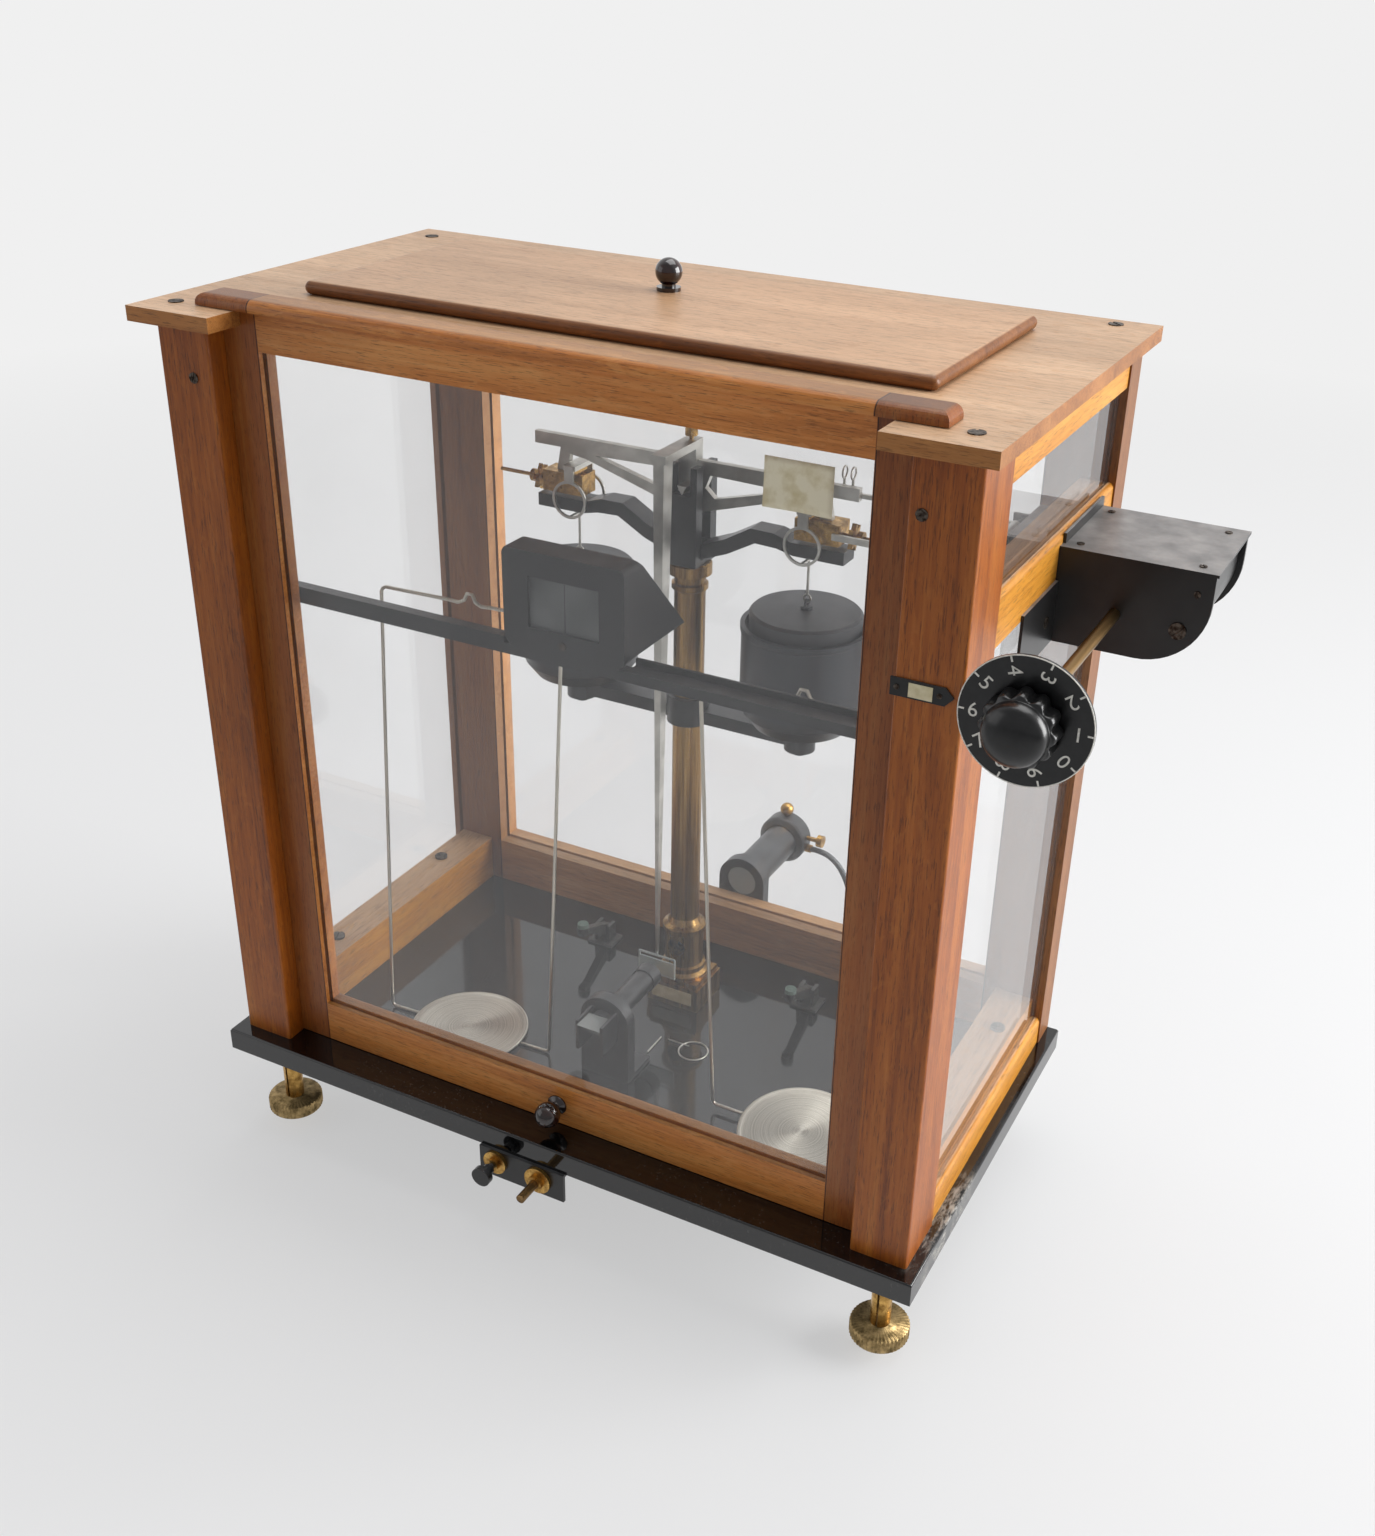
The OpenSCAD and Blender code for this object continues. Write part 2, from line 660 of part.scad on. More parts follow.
// Outline of one half of the beam, from its middle to its right end
function beam_half() = [
  [8, beam_low], [arm_l - 6.5, knife_z + 6.5], [arm_l + 4.5, knife_z + 8], [arm_l + 6, block_z + block_h],
  [arm_l + 13, block_z + block_h], [arm_l + 10.5, beam_top - 7], [beam_l / 2, beam_top - 7],
    [beam_l / 2, beam_top]];
module beam_truss() {
  y0 = column_y - beam_t / 2;
  y1 = column_y + beam_t / 2;
  half = beam_half();
  outline = concat([for (p = half) p], [for (i = [len(half) - 1:-1:0]) [-half[i][0], half[i][1]]]);
  color([0.72, 0.71, 0.68]) in_case() union() {
    difference() {
      plate_y(outline, y0, y1);
      for (s = [-1, 1]) sided(s) plate_y([
        [12.5, beam_top - 7.5], [arm_l - 12, beam_top - 8.5], [15.5, knife_z - 2.4],
          [9.5, knife_z + 3]], y0 - e, y1 + e);
    }
    span([-4.5, column_y - 4, beam_top - e], [4.5, column_y + 4, cross_z + e]);
    span([-4.5, pointer_y - 0.5, cross_z], [4.5, column_y + 4, cross_z + 4.5]);
    plate_y([[0, knife_z], [3, knife_z + 5], [-3, knife_z + 5]], column_y - 11.5, column_y + 11.5);
  }
}

module star_nut(r, t) {
  linear_extrude(t) polygon([for (i = [0:15]) (i % 2 == 0 ? r : r * 0.62) *
    [cos(22.5 * i), sin(22.5 * i)]]);
}
module beam_fittings() {
  screw_z = block_z + 5;
  tip_x = arm_l + 52.5;
  color([0.72, 0.55, 0.25]) in_case() union() {
    for (s = [-1, 1]) sided(s) {
      span([arm_l - 6.5, column_y - 7, block_z], [arm_l + 19.5, column_y - 2, block_z + block_h]);
      span([arm_l - 6.5, column_y + 2, block_z], [arm_l + 19.5, column_y + 7, block_z + block_h]);
      span([arm_l - 6.5, column_y - 2.5, block_z], [arm_l + 19.5, column_y + 2.5, block_z + block_h]);
      plate_y([[arm_l - 2, block_z + block_h - e], [arm_l + 2, block_z + block_h - e],
        [arm_l, end_knife_z]], column_y - 7, column_y + 7);
      rod_x(column_y, screw_z, 1.1, arm_l + 19, tip_x, 24);
      translate([arm_l + 24, column_y, screw_z]) rotate([0, 90, 0]) star_nut(7.5, 2.6);
      rod_x(column_y, screw_z, 3.6, arm_l + 28, arm_l + 31, 32);
    }
    translate([0, column_y - 1, cross_z + 4.5]) cylinder(r = 1.2, h = 10.5, $fn = 24);
    translate([0, column_y - 1, cross_z + 6.5]) cylinder(r = 3.5, h = 6.5, $fn = 32);
  }
}

module pointer() {
  top = cross_z;
  tip = optic_z + 11;
  color([0.74, 0.72, 0.68]) in_case() difference() {
    hull() {
      span([-3.2, pointer_y, top - 3], [3.2, pointer_y + 9.8, top]);
      span([-0.6, pointer_y + 1.2, tip], [0.6, pointer_y + 3.6, tip + 1]);
    }
    hull() {
      span([-2.5, pointer_y + 0.8, top - 4], [2.5, pointer_y + 11, top - 1]);
      span([-0.15, pointer_y + 2, tip + 70], [0.15, pointer_y + 5, tip + 71]);
    }
  }
}
module graticule() {
  gx = 12.2;
  z0 = optic_z - 5;
  z1 = optic_z + 5.6;
  y = pointer_y + 1.6;
  color([0.8, 0.85, 0.85]) in_case() union() {
    span([-gx, y, z0], [gx, y + 1, z1]);
    for (x = [-gx, gx]) translate([x, y + 0.5, z0]) cylinder(r = 0.7, h = z1 - z0 + 3, $fn = wire_fn);
    rod_x(y + 0.5, z1 + 3, 0.7, -gx, gx, wire_fn);
    rod_x(y + 0.5, z0, 0.7, -gx, gx, wire_fn);
    span([-0.6, y - 0.2, z1 + 3], [0.6, y + 1.2, optic_z + 11]);
  }
}

module stirrup() {
  x = arm_l;
  ry = 10.4;
  wall = 1.2;
  ring_z = end_knife_z - 17;
  ring_r = 11;
  hook_r = 2;
  hook_z = vessel_top + 7.05;
  color([0.66, 0.62, 0.52]) union() {
    span([x - 4, column_y - ry, end_knife_z + run_gap], [x + 4, column_y + ry, end_knife_z + 2.8]);
    for (k = [-1, 1]) {
      y = column_y + k * ry - wall / 2;
      difference() {
        union() {
          rod_y(x, ring_z, ring_r, y, y + wall);
          span([x - 3, y, ring_z + 5], [x + 3, y + wall, end_knife_z + 2.8]);
        }
        rod_y(x, ring_z, ring_r - 1.5, y - e, y + wall + e);
      }
    }
    rod_y(x, ring_z - ring_r + 0.8, 0.9, column_y - ry, column_y + ry, wire_fn);
    translate([x, column_y, hook_z + hook_r - 0.2])
      cylinder(r = 0.75, h = ring_z - ring_r + 1 - hook_z - hook_r, $fn = wire_fn);
    ring_y(x, column_y, hook_z, hook_r, 0.6);
  }
}
module stirrup_left() {
  in_case() sided(-1) stirrup();
}
module stirrup_right() {
  in_case() stirrup();
}

module arrest_yoke() {
  arm = [
    [9.9, capital_z + 4.5], [26, yoke_top - 14], [43, yoke_top - 4.5], [56, yoke_top - 5],
      [66, yoke_top - 7.3],
    [arm_l + 23, yoke_top - 7.3], [arm_l + 23, yoke_top], [64, yoke_top], [54, yoke_top + 3.2],
      [40, yoke_top + 3.4],
    [24, yoke_top - 6], [9.9, capital_z + 13]];
  color([0.09, 0.09, 0.1]) in_case() union() {
    difference() {
      translate([0, column_y, rod_low]) cylinder(d = rod_d, h = capital_z + 6 - rod_low);
      rod_y(0, optic_z, 3.2, column_y - 20, column_y + 20, 32);
    }
    span([-10.4, column_y - 4.7, capital_z + 4.5], [10.4, column_y + 4.7, capital_z + 13]);
    for (s = [-1, 1]) sided(s) plate_y(arm, column_y - 7, column_y + 7);
  }
}
module arrest_spindle() {
  color([0.66, 0.50, 0.25]) in_case() union() {
    rod_y(0, spindle_z, spindle_end_r, spindle_front, -7, 32);
    rod_y(0, spindle_z, spindle_r, -7.4, column_y + 6, 32);
    rod_y(0, spindle_z - arrest_lift, cam_r, column_y - 5, column_y + 5, 32);
  }
}
module brake_spindle() {
  r = 2;
  color([0.10, 0.10, 0.10]) in_case() union() {
    rod_y(brake_x, brake_z, r, -15, column_y + 30, 32);
    rod_y(brake_x, brake_z, 5.9, -18, -14.2, 32);
    rod_y(brake_x, brake_z, 3.2, -14.5, -9, 32);
  }
}

module control_plate() {
  color([0.10, 0.10, 0.09]) in_case() difference() {
    union() {
      span([-40, -2, -33], [16.5, 0, -slab_t]);
      span([-40, -e, -slab_t - 2], [16.5, 13, -slab_t]);
    }
    rod_y(0, spindle_z, 3.6, -3, 1, 32);
    rod_y(brake_x, brake_z, 3, -3, 1, 32);
  }
}
module control_flanges() {
  color([0.72, 0.56, 0.28]) in_case() difference() {
    union() {
      rod_y(0, spindle_z, 8.4, -4, -2, 48);
      rod_y(0, spindle_z, 4.6, -7, -3.5, 32);
      rod_y(brake_x, brake_z, 7.4, -4, -2, 48);
      rod_y(brake_x, brake_z, 3.8, -6.5, -3.5, 32);
      span([-7, column_y - 14, -30], [7, column_y - 8, -slab_t]);
      span([brake_x - 6, column_y + 15, -28], [brake_x + 6, column_y + 21, -slab_t]);
    }
    rod_y(0, spindle_z, spindle_r + run_gap, -8, column_y, 32);
    rod_y(brake_x, brake_z, 2 + run_gap, -8, column_y + 30, 32);
  }
}

// Felt-tipped pan brake on its pivot
brake_pivot_y = column_y + 28;
brake_pivot_z = 9;
module brake_lever() {
  x = arm_l + 2.5;
  color([0.13, 0.14, 0.13]) difference() {
    union() {
      bar_x([
        [brake_pivot_y + 3, brake_pivot_z - 2.5], [brake_pivot_y + 3, brake_pivot_z + 3],
          [column_y + 3, 24],
        [column_y - 3, 24], [column_y - 3, 20], [column_y + 3, 19.5],
          [brake_pivot_y - 3, brake_pivot_z - 3]], x - 2.5, x + 2.5);
      translate([x, column_y, 23]) cylinder(r = 4, h = 3, $fn = 32);
      translate([x, column_y, 25.5]) cylinder(r = 3.4, h = 3, $fn = 32);
      rod_x(brake_pivot_y, brake_pivot_z, 4.2, x - 2.5, x + 2.5, 32);
    }
    rod_x(brake_pivot_y, brake_pivot_z, 1.5 + run_gap, x - 4, x + 4, 32);
  }
}
module brake_lever_left() {
  in_case() sided(-1) brake_lever();
}
module brake_lever_right() {
  in_case() brake_lever();
}
module brake_brackets() {
  x = arm_l + 2.5;
  color([0.55, 0.55, 0.5]) in_case() for (s = [-1, 1]) sided(s) union() {
    span([x - 9, brake_pivot_y - 8, 0], [x + 9, brake_pivot_y + 8, 1.8]);
    for (k = [-1, 1]) translate([k * 4.4, 0, 0])
      bar_x([[brake_pivot_y - 5, 1], [brake_pivot_y + 5, 1], [brake_pivot_y + 4, 14],
        [brake_pivot_y - 4, 14]], x - 1.2, x + 1.2);
    rod_x(brake_pivot_y, brake_pivot_z, 1.5, x - 6, x + 6, 32);
  }
}

module objective_unit() {
  hw = 16;
  y0 = 71.5;
  color([0.05, 0.05, 0.055]) in_case() difference() {
    union() {
      span([-hw, y0, 2], [hw, y0 + 8, optic_z - 1]);
      rod_y(0, optic_z - 1, hw, y0, y0 + 8, fine);
      span([-hw, y0, 0], [hw, y0 + 26, 3]);
      rod_y(0, optic_z, tube_d / 2, y0 - 5, 117.3, 48);
      rod_y(0, optic_z, tube_d / 2 + 0.8, 117.3, 126, 48);
      rod_y(0, optic_z, tube_d / 2 + 2, y0 + 7.5, y0 + 14, 48);
      span([-9, y0 - 17, optic_z - 12], [-7.2, y0 + e, optic_z + 8]);
      span([7.2, y0 - 17, optic_z - 12], [9, y0 + e, optic_z + 8]);
    }
    rod_y(0, optic_z, tube_d / 2 - 2, y0 + 1, 130, 48);
  }
}
module optics_glass() {
  y0 = 71.5;
  color([0.8, 0.84, 0.82]) in_case() union() {
    translate([-7, 0, 0]) bar_x([[y0 - 5.3, optic_z - 8], [y0 - 5.3, optic_z + 6.5],
      [y0 - 19, optic_z + 6.5]], 0, 14);
    rod_y(0, optic_z, tube_d / 2 - 2.1, 121, 123, 48);
    rod_y(0, optic_z, lamp_d / 2 - 1.7, lamp_y + 1, lamp_y + 4, 48);
  }
}

lamp_screw_y = lamp_back + 7.5;
gland_z = optic_z - 5;
gland_x = 20;
gland_r = 2.8;
stud_r = 1.6;
module lamp_unit() {
  hw = 16.5;
  top_z = optic_z;
  cap_r = 17;
  color([0.07, 0.07, 0.08]) in_case() difference() {
    union() {
      span([-hw, lamp_y, -slab_t], [hw, lamp_y + 8, top_z]);
      rod_y(0, top_z, hw, lamp_y, lamp_y + 8, fine);
      rod_y(0, optic_z, lamp_d / 2, lamp_y + 7.5, lamp_back, 48);
      rod_y(0, optic_z, lamp_d / 2 + 2, lamp_y + 7.5, lamp_y + 14, 48);
      translate([0, lamp_back, optic_z]) rotate([-90, 0, 0]) rotate_extrude($fn = fine) polygon([
        [0, -2], [lamp_d / 2 + 1, -2], [cap_r - 1, 0], [cap_r, 1.5], [cap_r, 12], [cap_r - 2.5, 14.5],
          [0, 14.5]]);
    }
    rod_y(0, optic_z, lamp_d / 2 - 1.6, lamp_y - e, lamp_back - 8, 48);
    translate([0, lamp_screw_y, optic_z + 16]) cylinder(r = stud_r + run_gap, h = 3.5, $fn = 24);
    rod_x(lamp_screw_y, optic_z + 3, stud_r + run_gap, 16, 25, 24);
    rod_x(lamp_screw_y, gland_z, gland_r + run_gap, 15, gland_x, 32);
  }
}
module lamp_terminals() {
  color([0.72, 0.55, 0.25]) in_case() union() {
    translate([0, lamp_screw_y, optic_z + 16]) cylinder(r = stud_r, h = 3.5, $fn = 24);
    translate([0, lamp_screw_y, optic_z + 21.5]) sphere(r = 4.6, $fn = 32);
    rod_x(lamp_screw_y, optic_z + 3, stud_r, 16, 25, 24);
    rod_x(lamp_screw_y, optic_z + 3, 4.2, 24.5, 28.5, 32);
    rod_x(lamp_screw_y, gland_z, gland_r, 15, gland_x, 32);
  }
}

module weight_housing() {
  r = housing_h - 16;
  inset = 3;
  cx = housing_right - r;
  cz = housing_low + r;
  plate = concat(
    [[side_out, housing_top], [side_out, housing_low]],
    [for (i = [0:12]) [cx + r * sin(7.5 * i), cz - r * cos(7.5 * i)]],
    [[housing_right, housing_top]]);
  core = concat(
    [[side_out, housing_top - 0.5], [side_out, housing_low + inset]],
    [for (i = [0:12]) [cx + (r - inset) * sin(7.5 * i), cz - (r - inset) * cos(7.5 * i)]],
    [[housing_right - inset, housing_top - 0.5]]);
  color([0.06, 0.06, 0.065]) in_case() difference() {
    union() {
      plate_y(plate, housing_y, housing_y + 2.5);
      plate_y(plate, housing_back - 2.5, housing_back);
      plate_y(core, housing_y + 2, housing_back - 2);
      span([side_out, housing_y, housing_top - 1.5], [housing_right + 1, housing_back, housing_top]);
      span([side_out, housing_y + 5, housing_top - e], [side_out + 1.5, housing_back, housing_top + 5]);
      span([side_out, housing_y - 52, housing_low], [side_out + 1.5, housing_y + e, cross_low + 3]);
      span([neck_x, neck_y0, neck_z0], [side_out + e, neck_y1, neck_z1]);
      for (y = [column_y - 19, column_y + 17]) span([lifter_x - 4, y, lifter_z - 4],
        [neck_x + e, y + 2, lifter_z + 4]);
      rod_y(lifter_x, lifter_z, 1.5, column_y - 19, column_y + 19, 24);
    }
    rod_y(dial_x, dial_z, shaft_d / 2 + run_gap, housing_y - e, housing_y + 22, 48);
  }
}
module weight_lifters() {
  color([0.62, 0.62, 0.6]) in_case() difference() {
    union() {
      rod_y(lifter_x, lifter_z, 3, column_y - 13, column_y + 9, 32);
      span([lifter_x - 3, column_y - 12.5, lifter_low], [lifter_x + 2.5, column_y - 10.5, lifter_z]);
      span([arm_l + 17.5, column_y - 12.5, lifter_low], [lifter_x, column_y - 10.5, lifter_low + 3.4]);
      span([arm_l + 13.5, column_y + 6, lifter_z + 0.4], [lifter_x, column_y + 8, lifter_z + 2.8]);
      for (x = [arm_l + 15, arm_l + 20]) {
        span([x - 0.6, column_y + 6.4, lifter_z + 2], [x + 0.6, column_y + 7.6, lifter_z + 10]);
        translate([x, column_y + 7, lifter_z + 13]) rotate([90, 0, 90]) rotate_extrude($fn = 24)
          translate([3.2, 0]) circle(r = 0.5, $fn = wire_fn);
      }
    }
    rod_y(lifter_x, lifter_z, 1.5 + run_gap, column_y - 14, column_y + 12, 24);
  }
}

module weight_dial() {
  color([0.03, 0.03, 0.03]) in_case() difference() {
    union() {
      rod_y(dial_x, dial_z, dial_d / 2, dial_y, dial_y + dial_t, fine);
      rod_y(dial_x, dial_z, 8, dial_y + dial_t - e, dial_y + dial_t + 6, 48);
    }
    rod_y(dial_x, dial_z, shaft_d / 2, dial_y - e, dial_y + 10, 48);
  }
}
module dial_knob() {
  lobes = 12;
  skirt = knob_h * 0.5;
  front = dial_y - 1.5;
  color([0.03, 0.03, 0.03]) in_case() translate([dial_x, front, dial_z]) rotate([90, 0, 0]) difference() {
    union() {
      cylinder(d = knob_d, h = skirt, $fn = fine);
      translate([0, 0, -1.5]) cylinder(d = knob_d * 0.6, h = 2);
      rotate_extrude($fn = fine) polygon([
        [0, skirt - 1], [knob_d * 0.4, skirt - 1], [knob_d * 0.38, skirt + 2], [knob_d * 0.37, knob_h - 4],
        [knob_d * 0.34, knob_h - 1.6], [knob_d * 0.25, knob_h - 0.4], [0, knob_h]]);
    }
    for (i = [0:lobes - 1]) rotate([0, 0, i * 360 / lobes]) translate([knob_d / 2 + 2.6, 0, -e])
      cylinder(r = 4, h = skirt + 1, $fn = 24);
    translate([0, 0, -2]) cylinder(d = shaft_d, h = 8);
  }
}
module dial_shaft() {
  color([0.66, 0.52, 0.28]) in_case() rod_y(dial_x, dial_z, shaft_d / 2, dial_y - 5, housing_y + 20, 48);
}
module index_plate() {
  z0 = dial_z - 4.3;
  z1 = dial_z + 4.3;
  color([0.06, 0.06, 0.06]) in_case() plate_y([
    [inner_x - 1.5, z0], [inner_x - 1.5, z1], [post_x - 8, z1], [post_x - 4, dial_z],
      [post_x - 8, z0]], post_set - 1, post_set);
}

module foot_bushes() {
  color([0.72, 0.55, 0.25]) in_case() for (s = [-1, 1]) difference() {
    translate([s * foot_span / 2, foot_y, -57]) cylinder(d = bush_d, h = 57 - slab_t);
    translate([s * foot_span / 2, foot_y, -58]) cylinder(d = foot_screw + 2 * run_gap, h = 60 - slab_t);
    span([s * foot_span / 2 - 0.6, foot_y - bush_d, -58], [s * foot_span / 2 + 0.6, foot_y, -slab_t - 5]);
  }
}
module levelling_foot(s) {
  color([0.36, 0.30, 0.21]) translate([s * foot_span / 2, foot_y, 0]) union() {
    difference() {
      rotate_extrude($fn = fine) polygon([
        [0, foot_low + 11], [foot_disc / 2 - 1, foot_low + 11], [foot_disc / 2, foot_low + 12],
          [foot_disc / 2, foot_low + 17],
        [foot_disc / 2 - 1, foot_low + 18], [0, foot_low + 18]]);
      for (i = [0:35]) rotate([0, 0, 10 * i]) translate([foot_disc / 2 + 0.7, 0, foot_low + 10])
        cylinder(r = 1.1, h = 10, $fn = 16);
    }
    rotate_extrude($fn = 48) polygon([
      [0, foot_low], [2.2, foot_low], [3.3, foot_low + 1.5], [3.3, foot_low + 11.5],
        [foot_screw / 2, foot_low + 12],
      [foot_screw / 2, -slab_t - 2], [0, -slab_t - 2]]);
  }
}
module foot_left() {
  in_case() levelling_foot(-1);
}
module foot_right() {
  in_case() levelling_foot(1);
}
module rear_foot() {
  color([0.36, 0.30, 0.21]) in_case() translate([0, slab_d - 18, 0]) rotate_extrude($fn = 48) polygon([
    [0, foot_low], [7, foot_low], [8, foot_low + 1.5], [6, foot_low + 20], [6, -slab_t - 6],
      [11, -slab_t - 4], [11, -slab_t], [0, -slab_t]]);
}

// Dished pan with its wire bow; a lean shifts the bow's top sideways
module pan_dish() {
  r = pan_d / 2;
  rotate_extrude($fn = fine) polygon([
    [0, 1.9], [r * 0.8, 1.9], [r - 3, 2.5], [r - 0.6, 4.5], [r, 4.5], [r - 1.6, 2.1],
      [r - 4, pan_seat], [0, pan_seat]]);
}
function bow_points(lean) =
  let (hw = bow_w / 2, low = wire_d / 2 + pan_seat + 0.25, half = [
    [hw, low + 2.5], [hw, bow_h - 3], [hw - 1, bow_h - 1], [hw - 3, bow_h], [13, bow_h],
      [7, bow_h - 0.4], [3.4, bow_h + 1.4], [1.7, bow_h + 5.5]],
    full = concat([[pan_d / 2 - 5, low], [hw - 2.5, low], [hw - 0.7, low + 0.8]], half),
    n = len(full))
  [for (i = [0:2 * n - 1]) let (q = i < n ? full[i] : full[2 * n - 1 - i], k = i < n ? 1 : -1)
    [k * q[0] + tan(lean) * max(q[1] - low - 2.5, 0), 0, q[1]]];
module pan_left() {
  color([0.74, 0.72, 0.68]) in_case() translate([left_pan_x, left_pan_y, 0]) {
    pan_dish();
    rotate([0, 0, left_pan_turn]) tube(bow_points(left_bow_lean), wire_d / 2, 8, [0, 1, 0]);
  }
}
module pan_right() {
  reach = right_pan_y - bar_y - shelf_d - wire_d / 2 - 0.15;
  tilt = asin(reach / (bow_h + 5.5));
  low = (pan_d / 2 - 4) * sin(tilt) - pan_seat * cos(tilt) + pan_seat;
  color([0.74, 0.72, 0.68]) in_case() translate([right_pan_x, right_pan_y, low]) rotate([tilt, 0, 0]) {
    pan_dish();
    tube(bow_points(0), wire_d / 2, 8, [0, 1, 0]);
  }
}

// Fallen ring weight and a short straight rider on the floor
module loose_ring() {
  color([0.8, 0.78, 0.72]) in_case() union() {
    translate([35, 118, 0.6]) rotate_extrude($fn = 32) translate([9, 0]) circle(r = 0.5, $fn = wire_fn);
    rod_x(121, 0.6, 0.5, 16, 30.5, wire_fn);
    rod_y(11, 0.6, 0.5, 104, 121, wire_fn);
  }
}

// Lamp lead: route points chosen by hand in the case frame, then a coil on the table and a plug
lead_d = 4;
lead_r = lead_d / 2;
table_z = foot_low + lead_r;
lead_route = [
  [gland_x + 0.1, lamp_screw_y, gland_z], [gland_x + 5, lamp_screw_y, gland_z], [33, 320, 34], [41, 321, 27],
    [47, 323, 14], [50, 326, -4],
  [51, 330, -26], [50, 336, -48], [46, 344, -66], [37, 351, table_z + 0.5], [25, 355, table_z],
    [12, 357, table_z + 1],
  [0, 356.5, table_z + 6], [-12, 355, table_z + 12], [-20, 355, table_z + 13.8],
    [-26, 355, table_z + 13.8]];
coil_centre = [-30, 325];
coil_turns = 3;
coil_pitch = 4.8;
coil_in = 15.6;
coil_out = coil_in + coil_turns * coil_pitch;
coil_layers = 4;
coil_layer = 4.6;
coil_step = 24;
// Spirals in and out again by turns, dropping a layer in the half turn at each reversal
function coil_radius(t) = coil_in + coil_pitch * abs((t % (2 * coil_turns)) - coil_turns);
function coil_step_down(t, k) = min(max((t - k * coil_turns) * 2 + 0.5, 0), 1);
function coil_drop(t) = coil_step_down(t, 1) + coil_step_down(t, 2) + coil_step_down(t, 3);
coil_loops = [for (i = [0:coil_layers * coil_turns * coil_step]) let (t = i / coil_step, a = 90 + 360 * t)
  [coil_centre[0] + coil_radius(t) * cos(a), coil_centre[1] + coil_radius(t) * sin(a),
    table_z + coil_layer * (coil_layers - 1 - coil_drop(t))]];
coil_tail = [
  [-36, 355.2, table_z], [-46, 356.5, table_z + 0.5], [-58, 359.5, table_z + 3], [-68, 361, table_z + 5],
  [-76, 361, table_z + 5], [-81, 361, table_z + 5]];
plug_end = coil_tail[len(coil_tail) - 1];
function path_length(p, i = 1) = i >= len(p) ? 0 : norm(p[i] - p[i - 1]) + path_length(p, i + 1);
lead_length = path_length(smooth(lead_route, 2)) + path_length(coil_loops) + path_length(coil_tail);
// Turns less than half a turn apart lie end to end, so the gap is measured past them
coil_gap = min([for (i = [0:2:len(coil_loops) - 20], j = [i + 12:2:len(coil_loops) - 1])
  norm(coil_loops[i] - coil_loops[j])]) - lead_d;
echo(str("lead length ", round(lead_length), " mm"));
echo(str("least gap in the coil ", coil_gap, " mm"));

function catmull(p0, p1, p2, p3, t) = 0.5 * ((2 * p1) + (p2 - p0) *
  t + (2 * p0 - 5 * p1 + 4 * p2 - p3) * t * t
  + (3 * p1 - p0 - 3 * p2 + p3) * t * t * t);
function smooth(p, n) = concat(
  [for (i = [0:len(p) - 2], k = [0:n - 1])
    catmull(p[max(i - 1, 0)], p[i], p[i + 1], p[min(i + 2, len(p) - 1)], k / n)],
  [p[len(p) - 1]]);
function unit(v) = v / norm(v);
// A tube of radius r along points p; the direction up is never along the path
module tube(p, r, sides, up) {
  n = len(p);
  ahead = [for (i = [0:n - 1]) unit(p[min(i + 1, n - 1)] - p[max(i - 1, 0)])];
  rings = [for (i = [0:n - 1]) let (s = unit(cross(ahead[i], up)), u = cross(s, ahead[i]))
    for (k = [0:sides - 1])
    p[i] + r * (cos(360 * k / sides) * s + sin(360 * k / sides) * u)];
  walls = [for (i = [0:n - 2], k = [0:sides - 1]) let (a = i * sides + k, b = i * sides + (k + 1) % sides)
    each [[a, b, b + sides], [a, b + sides, a + sides]]];
  low = [for (k = [1:sides - 2]) [0, k + 1, k]];
  high = [for (k = [1:sides - 2]) let (o = (n - 1) * sides) [o, o + k, o + k + 1]];
  polyhedron(points = rings, faces = concat(walls, low, high));
}
module lamp_lead() {
  color([0.35, 0.36, 0.37]) in_case() tube(smooth(lead_route, 2), lead_r, 8, [0, 1, 0.2]);
}
module lead_coil() {
  color([0.35, 0.36, 0.37]) in_case() tube(concat([[-26, 355, coil_loops[0][2]]], coil_loops,
    coil_tail), lead_r, 6, [0, 0, 1]);
}
module lead_plug() {
  thick = 14;
  wide = 18;
  neck = 4;
  body = 20;
  pin_r = 2;
  pin_l = 16;
  pin_apart = 10;
  color([0.06, 0.06, 0.06]) in_case() translate(plug_end) rotate([0, -90, 0]) union() {
    translate([-thick / 2, -wide / 2, neck]) cube([thick, wide, body]);
    cylinder(r1 = 3.4, r2 = 6, h = neck + 1, $fn = 32);
    for (k = [-1, 1]) translate([0, k * pin_apart / 2, neck + body - e])
      cylinder(r = pin_r, h = pin_l, $fn = 24);
  }
}

base_slab();
front_post_left();
front_post_right();
side_frame_left();
side_frame_right();
rear_frame();
top_board();
pane_left();
pane_right();
pane_rear();
cross_bar();
screen_box();
screen_glass();
column();
damper_bracket();
damper_pot_left();
damper_pot_right();
bearing_fork();
objective_unit();
optics_glass();
lamp_unit();
lamp_terminals();
weight_housing();
index_plate();
control_plate();
control_flanges();
foot_bushes();
rear_foot();
brake_brackets();
loose_ring();
lamp_lead();
lead_coil();
lead_plug();
sash_frame();
sash_glass();
sash_knob();
top_lid();
lid_knob();
weight_dial();
dial_knob();
dial_shaft();
weight_lifters();
beam_truss();
beam_fittings();
pointer();
graticule();
stirrup_left();
stirrup_right();
vessel_left();
vessel_right();
pan_left();
pan_right();
arrest_yoke();
arrest_spindle();
brake_spindle();
brake_lever_left();
brake_lever_right();
foot_left();
foot_right();
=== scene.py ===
import math

import bpy
import numpy as np
from mathutils import Matrix, Vector


